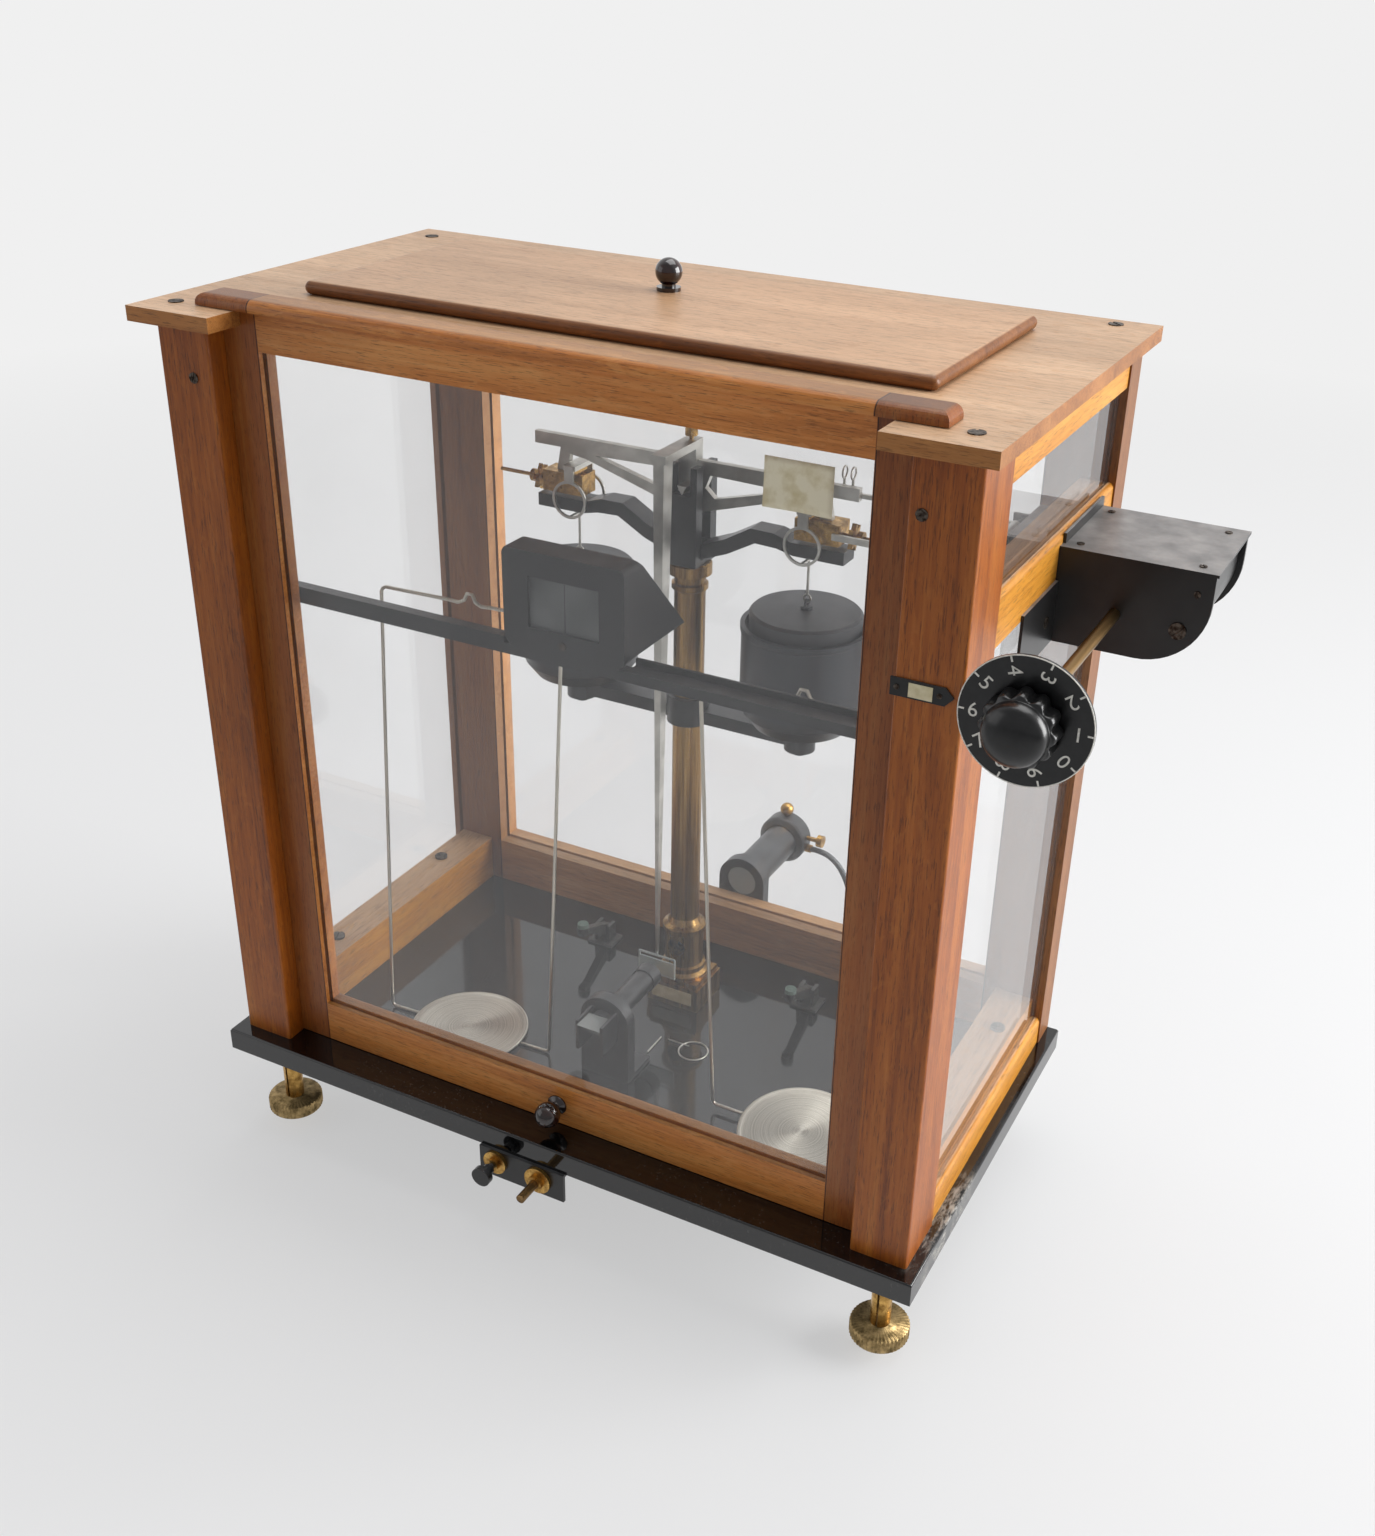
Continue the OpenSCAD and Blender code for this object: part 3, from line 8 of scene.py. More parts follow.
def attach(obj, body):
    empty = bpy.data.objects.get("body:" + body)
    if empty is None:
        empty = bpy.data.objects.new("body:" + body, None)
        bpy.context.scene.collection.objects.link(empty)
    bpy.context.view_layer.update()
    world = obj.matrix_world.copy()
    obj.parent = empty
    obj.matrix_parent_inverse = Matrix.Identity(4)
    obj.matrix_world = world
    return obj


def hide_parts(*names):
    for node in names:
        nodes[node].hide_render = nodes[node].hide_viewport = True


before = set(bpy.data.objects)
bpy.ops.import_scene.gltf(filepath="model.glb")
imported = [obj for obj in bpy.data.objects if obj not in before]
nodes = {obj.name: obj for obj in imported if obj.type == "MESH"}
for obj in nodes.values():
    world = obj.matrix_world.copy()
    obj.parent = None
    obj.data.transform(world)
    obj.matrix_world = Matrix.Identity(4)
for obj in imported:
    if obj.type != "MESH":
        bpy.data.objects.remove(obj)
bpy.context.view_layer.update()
scene = bpy.context.scene
scene.view_settings.view_transform = "Standard"

# Camera: the balance stands with its right front corner nearest, seen from a little above
# its top. Places are written in millimetres in the case's own frame: x from the middle of
# the base slab, y back from its front edge and z up from its top face.
CASE_MIDDLE = (33.5, 152.75, -76.0)
MM = 0.001


def place(points):
    """Case millimetres to metres in the model's frame: less the case's middle, times a thousandth."""
    return (np.asarray(points, float) - CASE_MIDDLE) * MM


AZIMUTH, ELEVATION, ROLL = (math.radians(angle) for angle in (26.114, 28.094, 1.792))
CAMERA_AT = (417.5, -616.5, 632.0)
IMAGE_WIDTH, IMAGE_HEIGHT = 1375, 1536
FOCAL_PIXELS = 1682.9
AXIS_PIXEL = (734.8, 778.5)
SENSOR = 36.0
forward = Vector((-math.sin(AZIMUTH) * math.cos(ELEVATION), math.cos(AZIMUTH) * math.cos(ELEVATION),
                  -math.sin(ELEVATION)))
level = Vector((math.cos(AZIMUTH), math.sin(AZIMUTH), 0))
upright = level.cross(forward)
right = level * math.cos(ROLL) + upright * math.sin(ROLL)
up = upright * math.cos(ROLL) - level * math.sin(ROLL)
lens = bpy.data.cameras.new("camera")
lens.sensor_width = SENSOR
lens.lens = FOCAL_PIXELS * SENSOR / IMAGE_HEIGHT
lens.shift_x = (IMAGE_WIDTH / 2 - AXIS_PIXEL[0]) / IMAGE_HEIGHT
lens.shift_y = (AXIS_PIXEL[1] - IMAGE_HEIGHT / 2) / IMAGE_HEIGHT
lens.clip_end = 60
camera = bpy.data.objects.new("camera", lens)
turned = Matrix((right, up, -forward)).transposed().to_4x4()
camera.matrix_world = Matrix.Translation(place(CAMERA_AT)) @ turned
scene.collection.objects.link(camera)
scene.camera = camera

# Lamp lead: a two-core grey flex from the lamp's cap down to the table. The length that
# the case hides is wound into a small coil behind it and ends in a plain two-pin plug.


def srgb(colour):
    """An sRGB hex colour as linear values, by the standard two-part curve."""
    c = np.array([int(colour[k:k + 2], 16) for k in (1, 3, 5)]) / 255
    return (*np.where(c <= 0.04045, c / 12.92, ((c + 0.055) / 1.055) ** 2.4).tolist(), 1.0)


def node(tree, kind, inputs, stops=(), **fields):
    """Adds a shader node with its fields, its ramp's stops, and its inputs from values, colours or other nodes."""
    made = tree.nodes.new("ShaderNode" + kind)
    for field, value in fields.items():
        setattr(made, field, value)
    for key, value in inputs.items():
        if isinstance(value, bpy.types.Node):
            value = next(out for out in value.outputs if out.enabled)
        if isinstance(value, bpy.types.NodeSocket):
            tree.links.new(value, made.inputs[key])
        else:
            made.inputs[key].default_value = srgb(value) if isinstance(value, str) else value
    for k, (position, tone) in enumerate(stops):
        if k > 1:
            made.color_ramp.elements.new(position)
        made.color_ramp.elements[k].position = position
        made.color_ramp.elements[k].color = srgb(tone) if isinstance(tone, str) else (tone, tone, tone, 1)
    return made


def material(name, colour, roughness, **sockets):
    """A new material with its tree, its shader and the piece's own coordinates."""
    made = bpy.data.materials.new(name)
    made.use_nodes = True
    made.diffuse_color = srgb(colour)
    shader = made.node_tree.nodes["Principled BSDF"]
    shader.inputs["Base Color"].default_value = srgb(colour)
    shader.inputs["Roughness"].default_value = roughness
    for key, value in sockets.items():
        shader.inputs[key.replace("_", " ")].default_value = value
    where = node(made.node_tree, "TexCoord", {}).outputs["Object"]
    return made, made.node_tree, shader, where


def surface(grid, closed_rows=False):
    """Points and faces of a grid [row][column] of points: quads between neighbours, columns closed, ends capped."""
    rows, columns = grid.shape[:2]
    i, j = np.meshgrid(np.arange(rows if closed_rows else rows - 1), np.arange(columns), indexing="ij")
    below, beside = (i + 1) % rows, (j + 1) % columns
    quads = np.stack([i * columns + j, i * columns + beside, below * columns + beside, below * columns + j], -1)
    faces = quads.reshape(-1, 4).tolist()
    if not closed_rows:
        faces += [list(range(columns))[::-1], list(range((rows - 1) * columns, rows * columns))]
    return grid.reshape(-1, 3), faces


def tube(path, radius, sides, flat, closed=False):
    """A round tube: at each path point a circle of that radius, square to the path and set out from flat."""
    path = np.asarray(path, float)
    ahead = np.roll(path, -1, 0) - np.roll(path, 1, 0) if closed else np.gradient(path, axis=0)
    ahead /= np.linalg.norm(ahead, axis=1)[:, None]
    side = np.cross(ahead, flat)
    side /= np.linalg.norm(side, axis=1)[:, None]
    over = np.cross(ahead, side)
    angle = (np.arange(sides) * 2 * np.pi / sides)[None, :, None]
    return surface(path[:, None] + radius * (np.cos(angle) * side[:, None] + np.sin(angle) * over[:, None]), closed)


def piece(name, shapes, finish, body, smooth=False, replaces=()):
    """A piece made of (points, faces) pairs in case millimetres, riding on a body."""
    points = np.concatenate([shape[0] for shape in shapes])
    starts = np.cumsum([0] + [len(shape[0]) for shape in shapes])
    faces = [[k + int(start) for k in face] for shape, start in zip(shapes, starts) for face in shape[1]]
    mesh = bpy.data.meshes.new(name)
    mesh.from_pydata(place(points).tolist(), [], faces)
    mesh.polygons.foreach_set("use_smooth", [smooth] * len(mesh.polygons))
    mesh.materials.append(finish)
    made = bpy.data.objects.new(name, mesh)
    scene.collection.objects.link(made)
    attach(made, body)
    if replaces:
        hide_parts(*replaces)
    return made


def through(points, steps):
    """A smooth curve through points: a Catmull-Rom cubic between each two, cut into equal steps."""
    points = np.asarray(points, float)
    padded = np.vstack([points[:1], points, points[-1:]])
    t = (np.arange(steps) / steps)[None, :, None]
    a, b, c, d = (padded[k:len(padded) - 3 + k, None] for k in range(4))
    curve = (2 * b + (c - a) * t + (2 * a - 5 * b + 4 * c - d) * t ** 2 + (3 * b - a - 3 * c + d) * t ** 3) / 2
    return np.vstack([curve.reshape(-1, 3), points[-1:]])


# PVC flex: a matt skin, rubbed paler in patches
flex, tree, shader, where = material("grey_pvc_flex", "#5f6163", 0.5)
rubbed = node(tree, "TexNoise", {"Vector": where, "Scale": 1000 / 9, "Detail": 4.0})
tone = node(tree, "ValToRGB", {"Fac": rubbed}, [(0.35, "#505356"), (0.7, "#707375")])
tree.links.new(tone.outputs[0], shader.inputs["Base Color"])
LEAD_RADIUS = 2.0
ON_TABLE = -76.0 + LEAD_RADIUS
LEAD_ROUTE = [
    (20.1, 319.5, 36), (25, 319.5, 36), (33, 320, 34), (41, 321, 27), (47, 323, 14), (50, 326, -4), (51, 330, -26),
    (50, 336, -48), (46, 344, -66), (37, 351, ON_TABLE + 0.5), (25, 355, ON_TABLE), (12, 357, ON_TABLE + 1),
    (0, 356.5, ON_TABLE + 6), (-12, 355, ON_TABLE + 12), (-20, 355, ON_TABLE + 13.8), (-26, 355, ON_TABLE + 13.8)]
LEAD_TAIL = [
    (-36, 355.2, ON_TABLE), (-46, 356.5, ON_TABLE + 0.5), (-58, 359.5, ON_TABLE + 3), (-68, 361, ON_TABLE + 5),
    (-76, 361, ON_TABLE + 5), (-81, 361, ON_TABLE + 5)]
COIL_X, COIL_Y, COIL_INNER, COIL_PITCH, COIL_TURNS, COIL_LAYERS, LAYER_HEIGHT = -30, 325, 15.6, 4.8, 3, 4, 4.6
turn = np.arange(COIL_LAYERS * COIL_TURNS * 36 + 1) / 36
radius = COIL_INNER + COIL_PITCH * np.abs(turn % (2 * COIL_TURNS) - COIL_TURNS)
dropped = sum(np.clip((turn - k * COIL_TURNS) * 2 + 0.5, 0, 1) for k in range(1, COIL_LAYERS))
angle = np.pi / 2 + 2 * np.pi * turn
coil = np.stack([COIL_X + radius * np.cos(angle), COIL_Y + radius * np.sin(angle),
                 ON_TABLE + LAYER_HEIGHT * (COIL_LAYERS - 1 - dropped)], 1)
route = through(LEAD_ROUTE, 6)[:-1]
lead_path = np.vstack([route, coil, through(LEAD_TAIL, 4)])
# The circles are set out from back to front down the route, and from upright in the coil
lies_down = np.clip((np.arange(len(lead_path)) - len(route) + 12) / 12, 0, 1)[:, None]
flat = (1 - lies_down) * np.array([0, 1, 0.2]) + lies_down * np.array([0, 0, 1])
lead = piece("lamp_flex", [tube(lead_path, LEAD_RADIUS, 10, flat)], flex, "case", True,
             ("lamp_lead", "lead_coil"))

# Table and light: a pale seamless table, one large soft light at the right, one overhead
# and a weak one at the left. Whatever sees the room directly sees it white.


def seen_directly(tree):
    """1 for rays from the camera, off gloss or through glass, and 0 for light that falls on things."""
    path = node(tree, "LightPath", {})
    first = node(tree, "Math", {0: path.outputs["Is Camera Ray"], 1: path.outputs["Is Glossy Ray"]}, operation="MAXIMUM")
    return node(tree, "Math", {0: first, 1: path.outputs["Is Transmission Ray"]}, operation="MAXIMUM")


# Paper sweep: matt white. Half its brightness is its own near the balance, so that shadows
# stay soft, and all of it far away. In front of the balance, gloss sees a plain lit grey there instead.
paper, tree, shader, where = material("white_paper_sweep", "#e2e2e3", 0.9)
shader.inputs["Specular IOR Level"].default_value = 0.1
own_light = node(tree, "Emission", {"Color": "#f0f0f0", "Strength": 1.0})
off = node(tree, "VectorMath", {0: where}, operation="LENGTH").outputs["Value"]
own = node(tree, "MapRange", {"Value": off, "From Min": 0.45, "From Max": 2.2, "To Min": 0.56, "To Max": 1.0})
own = node(tree, "Math", {0: seen_directly(tree), 1: own}, operation="MULTIPLY")
blend = node(tree, "MixShader", {0: own, 1: shader.outputs[0], 2: own_light})
dark_room = node(tree, "BsdfDiffuse", {"Color": "#c8c8c8"})
ahead = node(tree, "MapRange", {"Value": node(tree, "SeparateXYZ", {"Vector": where}).outputs["Y"],
                                "From Min": -0.28, "From Max": -0.5})
ahead = node(tree, "Math", {0: ahead, 1: node(tree, "LightPath", {}).outputs["Is Glossy Ray"]}, operation="MULTIPLY")
blend = node(tree, "MixShader", {0: ahead, 1: blend, 2: dark_room})
tree.links.new(blend.outputs[0], tree.nodes["Material Output"].inputs[0])
FLOOR_HALF = 30.0
floor_mesh = bpy.data.meshes.new("table")
corners = [(-FLOOR_HALF, -FLOOR_HALF, 0), (FLOOR_HALF, -FLOOR_HALF, 0), (FLOOR_HALF, FLOOR_HALF, 0), (-FLOOR_HALF, FLOOR_HALF, 0)]
floor_mesh.from_pydata(corners, [], [(0, 1, 2, 3)])
floor_mesh.materials.append(paper)
floor = bpy.data.objects.new("table", floor_mesh)
scene.collection.objects.link(floor)
world = bpy.data.worlds.new("studio")
world.use_nodes = True
scene.world = world
tree = world.node_tree
room = node(tree, "Background", {"Color": "#eceef2", "Strength": 0.36})
white = node(tree, "Background", {"Color": "#f1f1f2", "Strength": 1.0})
dim = node(tree, "Background", {"Color": "#a8a8aa", "Strength": 1.0})
blend = node(tree, "MixShader", {0: seen_directly(tree), 1: room, 2: white})
# Gloss that faces the front sees the dim studio behind the camera
faces = node(tree, "SeparateXYZ", {"Vector": node(tree, "TexCoord", {}).outputs["Generated"]}).outputs["Y"]
front = node(tree, "MapRange", {"Value": faces, "From Min": 0.0, "From Max": -0.45})
front = node(tree, "Math", {0: front, 1: node(tree, "LightPath", {}).outputs["Is Glossy Ray"]}, operation="MULTIPLY")
blend = node(tree, "MixShader", {0: front, 1: blend, 2: dim})
tree.links.new(blend.outputs[0], tree.nodes["World Output"].inputs[0])
AIM = Vector((0, 0, 0.3))
for name, hangs, across, power in (
        ("light_right", (1.9, 0.75, 0.85), 1.4, 58), ("light_above", (0.2, 0.5, 2.4), 1.8, 30),
        ("light_left", (-1.9, -1.4, 1.0), 1.6, 6)):
    lamp = bpy.data.lights.new(name, "AREA")
    lamp.size, lamp.energy = across, power
    hung = bpy.data.objects.new(name, lamp)
    hung.location = hangs
    hung.rotation_euler = (AIM - Vector(hangs)).to_track_quat("-Z", "Y").to_euler()
    scene.collection.objects.link(hung)

# Base slab: one piece of black glass-like stone, polished, with a small rounded edge. Dust
# lies on it, and beside the right front post it is scuffed white.
SCUFF_AT, SCUFF_NEAR, SCUFF_FAR = (222.0, 55.0, 0.0), 0.012, 0.05


def dress(finish, *names):
    """Gives CAD nodes a material."""
    for name in names:
        nodes[name].data.materials.clear()
        nodes[name].data.materials.append(finish)


# Polished black stone: a clear mirror, greyed by dust
stone, tree, shader, where = material("polished_black_stone", "#0a0a0b", 0.06, Specular_IOR_Level=0.75)
grit = node(tree, "TexNoise", {"Vector": where, "Scale": 1000 / 1.5, "Detail": 6.0})
grit = node(tree, "ValToRGB", {"Fac": grit}, [(0.58, 0.0), (0.8, 1.0)])
haze = node(tree, "TexNoise", {"Vector": where, "Scale": 1000 / 90, "Detail": 5.0})
haze = node(tree, "ValToRGB", {"Fac": haze}, [(0.35, 0.05), (0.7, 1.0)])
dust = node(tree, "Mix", {0: 0.35, 6: (0, 0, 0, 1), 7: grit}, data_type="RGBA")
dust = node(tree, "Mix", {0: 1.0, 6: dust, 7: haze}, data_type="RGBA", blend_type="MULTIPLY")
apart = node(tree, "VectorMath", {0: where, 1: tuple(place(SCUFF_AT).tolist())}, operation="DISTANCE")
near = node(tree, "MapRange", {"Value": apart.outputs["Value"], "From Min": SCUFF_NEAR, "From Max": SCUFF_FAR,
                               "To Min": 1.0, "To Max": 0.0})
long_way = node(tree, "Mapping", {"Vector": where, "Scale": (1.6, 0.5, 1.0)})
scratch = node(tree, "TexNoise", {"Vector": long_way, "Scale": 1000 / 9, "Detail": 8.0, "Roughness": 0.72})
scratch = node(tree, "ValToRGB", {"Fac": scratch}, [(0.47, 0.0), (0.66, 0.85)])
scuff = node(tree, "Math", {0: near, 1: scratch.outputs[0]}, operation="MULTIPLY")
dusty = node(tree, "Mix", {0: dust, 6: "#0a0a0b", 7: "#8f8c86"}, data_type="RGBA")
scuffed = node(tree, "Mix", {0: scuff, 6: dusty, 7: "#c4c0b6"}, data_type="RGBA")
tree.links.new(scuffed.outputs[2], shader.inputs["Base Color"])
dull = node(tree, "MapRange", {"Value": haze.outputs[0], "To Min": 0.03, "To Max": 0.12})
dull = node(tree, "Math", {0: dull, 1: scuff}, operation="MAXIMUM")
tree.links.new(dull.outputs[0], shader.inputs["Roughness"])
dress(stone, "base_slab")

# Case: quarter-sawn oak boards, glued and screwed, under shellac. The grain of each runs
# along it. What looks up is painted paler than the rest: a painted sheen of the light from above.


def prism(outline, foot, across, along, height):
    """A flat outline, drawn on two directions from a foot point, raised along their cross product."""
    outline = np.asarray(outline, float)
    across, along = np.asarray(across, float), np.asarray(along, float)
    low = np.asarray(foot, float) + outline[:, :1] * across + outline[:, 1:] * along
    high = low + height * np.cross(across, along)
    n = len(outline)
    sides = [[k, (k + 1) % n, (k + 1) % n + n, k + n] for k in range(n)]
    return np.vstack([low, high]), sides + [list(range(n))[::-1], list(range(n, 2 * n))]


def circle(radius, start=0.0, sweep=2 * np.pi, count=28):
    """Points on an arc from start through sweep, in order, without a doubled last point on a full circle."""
    angle = start + sweep * np.arange(count) / (count if sweep == 2 * np.pi else count - 1)
    return np.stack([radius * np.cos(angle), radius * np.sin(angle)], 1)


def oak(name, grain, dark, mid, light, painted_top_sheen, seed, roughness=0.42, stiles=None):
    """Shellacked oak: slow bands and fine fibres along the grain, dark pores, pale ray flecks and old patches.
    stiles is the distance from the middle, in mm, past which the grain is upright, with a dark joint line there."""
    made, tree, shader, where = material(name, mid, roughness, Specular_IOR_Level=0.45)
    off = node(tree, "Math", {0: node(tree, "SeparateXYZ", {"Vector": where}), 1: float(place((0, 0, 0))[0])},
               operation="SUBTRACT")
    off = node(tree, "Math", {0: off}, operation="ABSOLUTE")
    past = node(tree, "Math", {0: off, 1: (stiles or 0) * MM}, operation="GREATER_THAN")

    def along(stretch, size_mm, detail, distortion=0.0):
        laid = []
        for axis in (grain, "Z"):
            scale = [1.0, 1.0, 1.0]
            scale["XYZ".index(axis)] = 1 / stretch
            laid.append(node(tree, "Mapping", {"Vector": where, "Location": (seed, 2 * seed, 3 * seed), "Scale": scale}))
        spot = node(tree, "Mix", {0: past, 4: laid[0], 5: laid[1]}, data_type="VECTOR") if stiles else laid[0]
        return node(tree, "TexNoise", {"Vector": spot, "Scale": 1000 / size_mm, "Detail": detail,
                                       "Roughness": 0.6, "Distortion": distortion})

    bands, fibre, pores, rays = along(18, 18, 5.0, 0.8), along(30, 1.9, 5.0), along(16, 0.55, 3.0), along(3, 5, 3.0, 1.0)
    figure = node(tree, "Mix", {0: 0.42, 6: bands, 7: fibre}, data_type="RGBA")
    tone = node(tree, "ValToRGB", {"Fac": figure}, [(0.3, dark), (0.5, mid)])
    tone.color_ramp.elements.new(0.7).color = srgb(light)
    # Faces that look up take these paler tones: a painted sheen of the light from above
    pale = node(tree, "ValToRGB", {"Fac": figure}, [(0.3, painted_top_sheen[0]), (0.66, painted_top_sheen[1])])
    looks = node(tree, "SeparateXYZ", {"Vector": node(tree, "NewGeometry", {}).outputs["Normal"]})
    top = node(tree, "ValToRGB", {"Fac": looks.outputs["Z"]}, [(0.9, 0.0), (0.995, 1.0)])
    tone = node(tree, "Mix", {0: top, 6: tone, 7: pale}, data_type="RGBA")
    fleck = node(tree, "ValToRGB", {"Fac": rays}, [(0.56, 0.0), (0.66, 0.3)])
    tone = node(tree, "Mix", {0: fleck, 6: tone, 7: light}, data_type="RGBA")
    pore = node(tree, "ValToRGB", {"Fac": pores}, [(0.37, 0.55), (0.44, 1.0)])
    tone = node(tree, "Mix", {0: 1.0, 6: tone, 7: pore}, data_type="RGBA", blend_type="MULTIPLY")
    age = node(tree, "ValToRGB", {"Fac": along(2, 130, 3.0)}, [(0.3, 0.75), (0.68, 1.0)])
    tone = node(tree, "Mix", {0: 1.0, 6: tone, 7: age}, data_type="RGBA", blend_type="MULTIPLY")
    if stiles:
        # Past the stiles the colour is multiplied darker
        darker_past_stiles = node(tree, "Mix", {0: past, 6: (1, 1, 1, 1), 7: (0.5, 0.4, 0.32, 1)}, data_type="RGBA")
        tone = node(tree, "Mix", {0: 1.0, 6: tone, 7: darker_past_stiles}, data_type="RGBA", blend_type="MULTIPLY")
        joint = node(tree, "Math", {0: off, 1: (stiles + 0.55) * MM, 2: 0.00022}, operation="COMPARE")
        tone = node(tree, "Mix", {0: joint, 6: tone, 7: "#1c0d05"}, data_type="RGBA")
    tree.links.new(tone.outputs[2], shader.inputs["Base Color"])
    bump = node(tree, "Bump", {"Height": pore, "Distance": 0.00012, "Strength": 0.35})
    tree.links.new(bump.outputs[0], shader.inputs["Normal"])
    return made


dress(oak("shellacked_oak_post", "Z", "#6f3307", "#a35612", "#bd7128", ("#a57a55", "#cfa57d"), 0.11, 0.38),
      "front_post_left", "front_post_right")
side_oak = oak("shellacked_oak_side", "Y", "#a8640f", "#cf8a26", "#e2a444", ("#b98c62", "#e0b78c"), 0.37)
dress(side_oak, "side_frame_right")
dress(oak("shellacked_oak_rear", "X", "#9c6638", "#c88c52", "#dba66c", ("#a9794e", "#d0a678"), 0.71, 0.42, 179),
      "rear_frame")
dress(oak("oak_board_painted_top_sheen", "X", "#7c4a1f", "#a3672f", "#bb8044", ("#b8906b", "#deb893"), 0.23, 0.4), "top_board")
dress(oak("oak_lid_painted_top_sheen", "X", "#59300f", "#7f4c20", "#9c6635", ("#b88e68", "#d8ad86"), 0.53, 0.38), "top_lid")
# The sash gets brighter tones than the other oak: painted light, standing in for the sheen on its rails and lifting
# them out of the shade under the top board. Its stiles are multiplied darker again below.
dress(oak("shellacked_oak_sash", "X", "#9a5520", "#d0823c", "#e6a45e", ("#96602c", "#bd8547"), 0.93, 0.34, 165),
      "sash_frame")

# The left side is one tall window: a bottom rail with a quarter-round bead and a top rail,
# each grooved for the pane. Distances are x outward and z up, and both run from post to rear.
POST_BACK, REAR_FRONT, SIDE_OUT, GROOVE, BEAD = 48.0, 230.0, 217.0, (211.0, 213.8), 3.2
PANE, PANE_LOW, PANE_HIGH, PANE_SET_IN = (211.15, 213.65), 15.5, 424.5, 3.8
bead = circle(BEAD, 0, np.pi / 2, 9) + (SIDE_OUT - BEAD, PANE_LOW - 0.3)
sill = [(187, 0), (SIDE_OUT, 0), *bead.tolist(), (GROOVE[1], PANE_LOW - 0.3), (GROOVE[0], PANE_LOW - 0.3), (GROOVE[0], 31),
        (187, 31)]
head = [(199, 410.5), (GROOVE[0], 410.5), (GROOVE[0], 424.8), (GROOVE[1], 424.8), (GROOVE[1], 410.5), (SIDE_OUT, 410.5),
        (SIDE_OUT, 431.5), (199, 431.5)]
rails = [prism(outline, (0, POST_BACK, 0), (-1, 0, 0), (0, 0, 1), REAR_FRONT - POST_BACK) for outline in (sill, head)]
piece("left_window_rails", rails, side_oak, "case", False, ("side_frame_left",))

# Windows: clear drawn glass in grooves in the oak, with a film of dust
# Window glass: nothing but two faint reflections and a grey veil over the darks
glazing, tree, shader, where = material("dusty_window_glass", "#eef2f0", 0.02)
clear = node(tree, "BsdfTransparent", {"Color": "#ffffff"})
veil = node(tree, "BsdfDiffuse", {"Color": "#e4e5e6"})
gloss = node(tree, "BsdfGlossy", {"Color": "#ffffff", "Roughness": 0.01})
GLASS_IOR = 1.5
# Seen from inside the pane the ratio is turned over, because the light isn't bent here
inside = node(tree, "NewGeometry", {}).outputs["Backfacing"]
ratio = node(tree, "MapRange", {"Value": inside, "To Min": GLASS_IOR, "To Max": 1 / GLASS_IOR})
sheen = node(tree, "Fresnel", {"IOR": ratio})
film = node(tree, "TexNoise", {"Vector": where, "Scale": 1000 / 120, "Detail": 7.0, "Roughness": 0.62})
film = node(tree, "MapRange", {"Value": film, "From Min": 0.3, "From Max": 0.75, "To Min": 0.02, "To Max": 0.05})
hazy = node(tree, "MixShader", {0: film, 1: clear, 2: veil})
pane = node(tree, "MixShader", {0: sheen, 1: hazy, 2: gloss})
tree.links.new(pane.outputs[0], tree.nodes["Material Output"].inputs[0])
dress(glazing, "pane_right", "pane_rear", "sash_glass")
outline = [(PANE[0], PANE_LOW), (PANE[1], PANE_LOW), (PANE[1], PANE_HIGH), (PANE[0], PANE_HIGH)]
sheet = prism(outline, (0, POST_BACK - PANE_SET_IN, 0), (-1, 0, 0), (0, 0, 1), REAR_FRONT - POST_BACK + 2 * PANE_SET_IN)
piece("left_pane", [sheet], glazing, "case", False, ("pane_left",))

# Case screws: slotted countersunk steel in the top board and in the front of the posts,
# and larger raised heads on the side sills.


def revolve(profile, foot, across, along, columns=48, waves=0):
    """A turned shape: (radius, height, depth of waves) rows, where waves cut the radius in that many scallops."""
    profile = np.asarray([(*row, 0)[:3] for row in profile], float)
    across, along = np.asarray(across, float), np.asarray(along, float)
    angle = np.arange(columns) * 2 * np.pi / columns
    radius = profile[:, :1] - profile[:, 2:] * (0.5 - 0.5 * np.cos(waves * angle)) ** 1.5
    grid = (radius * np.cos(angle))[..., None] * across + (radius * np.sin(angle))[..., None] * along
    return surface(np.asarray(foot, float) + grid + profile[:, 1, None, None] * np.cross(across, along))


SEEN_FROM = {"top": ((1, 0, 0), (0, 1, 0)), "front": ((1, 0, 0), (0, 0, 1)), "right": ((0, 1, 0), (0, 0, 1))}


def slotted_head(at, side, radius, turn, height=0.5):
    """A screw head: a floor disc and two raised half discs, with a slot a sixth of the head wide between them."""
    across, along = (np.asarray(v, float) for v in SEEN_FROM[side])
    turned = (np.cos(turn) * across + np.sin(turn) * along, np.cos(turn) * along - np.sin(turn) * across)
    bite = np.arcsin(0.15)
    halves = [prism(circle(radius, start + bite, np.pi - 2 * bite, 15), at, *turned, height) for start in (0, np.pi)]
    return [prism(circle(radius), at, *turned, height * 0.3), *halves]


# Old steel: dark grey, with brown rust in patches
old_steel, tree, shader, where = material("old_steel", "#4a4540", 0.45, Metallic=1.0)
rust = node(tree, "TexNoise", {"Vector": where, "Scale": 1000 / 2, "Detail": 5.0})
rust = node(tree, "ValToRGB", {"Fac": rust}, [(0.38, "#2d211a"), (0.62, "#6a625a")])
tree.links.new(rust.outputs[0], shader.inputs["Base Color"])
BOARD_TOP, POST_FRONT, SILL_TOP = 439.2, 9.5, 31.0
board_screws = [(-212, 18.6, BOARD_TOP, 0.5), (209.5, 18.4, BOARD_TOP, 1.9), (-210, 230, BOARD_TOP, 0.9), (205, 238, BOARD_TOP, 2.4)]
piece("board_screws", sum([slotted_head(s[:3], "top", 3.9, s[3]) for s in board_screws], []), old_steel, "case")
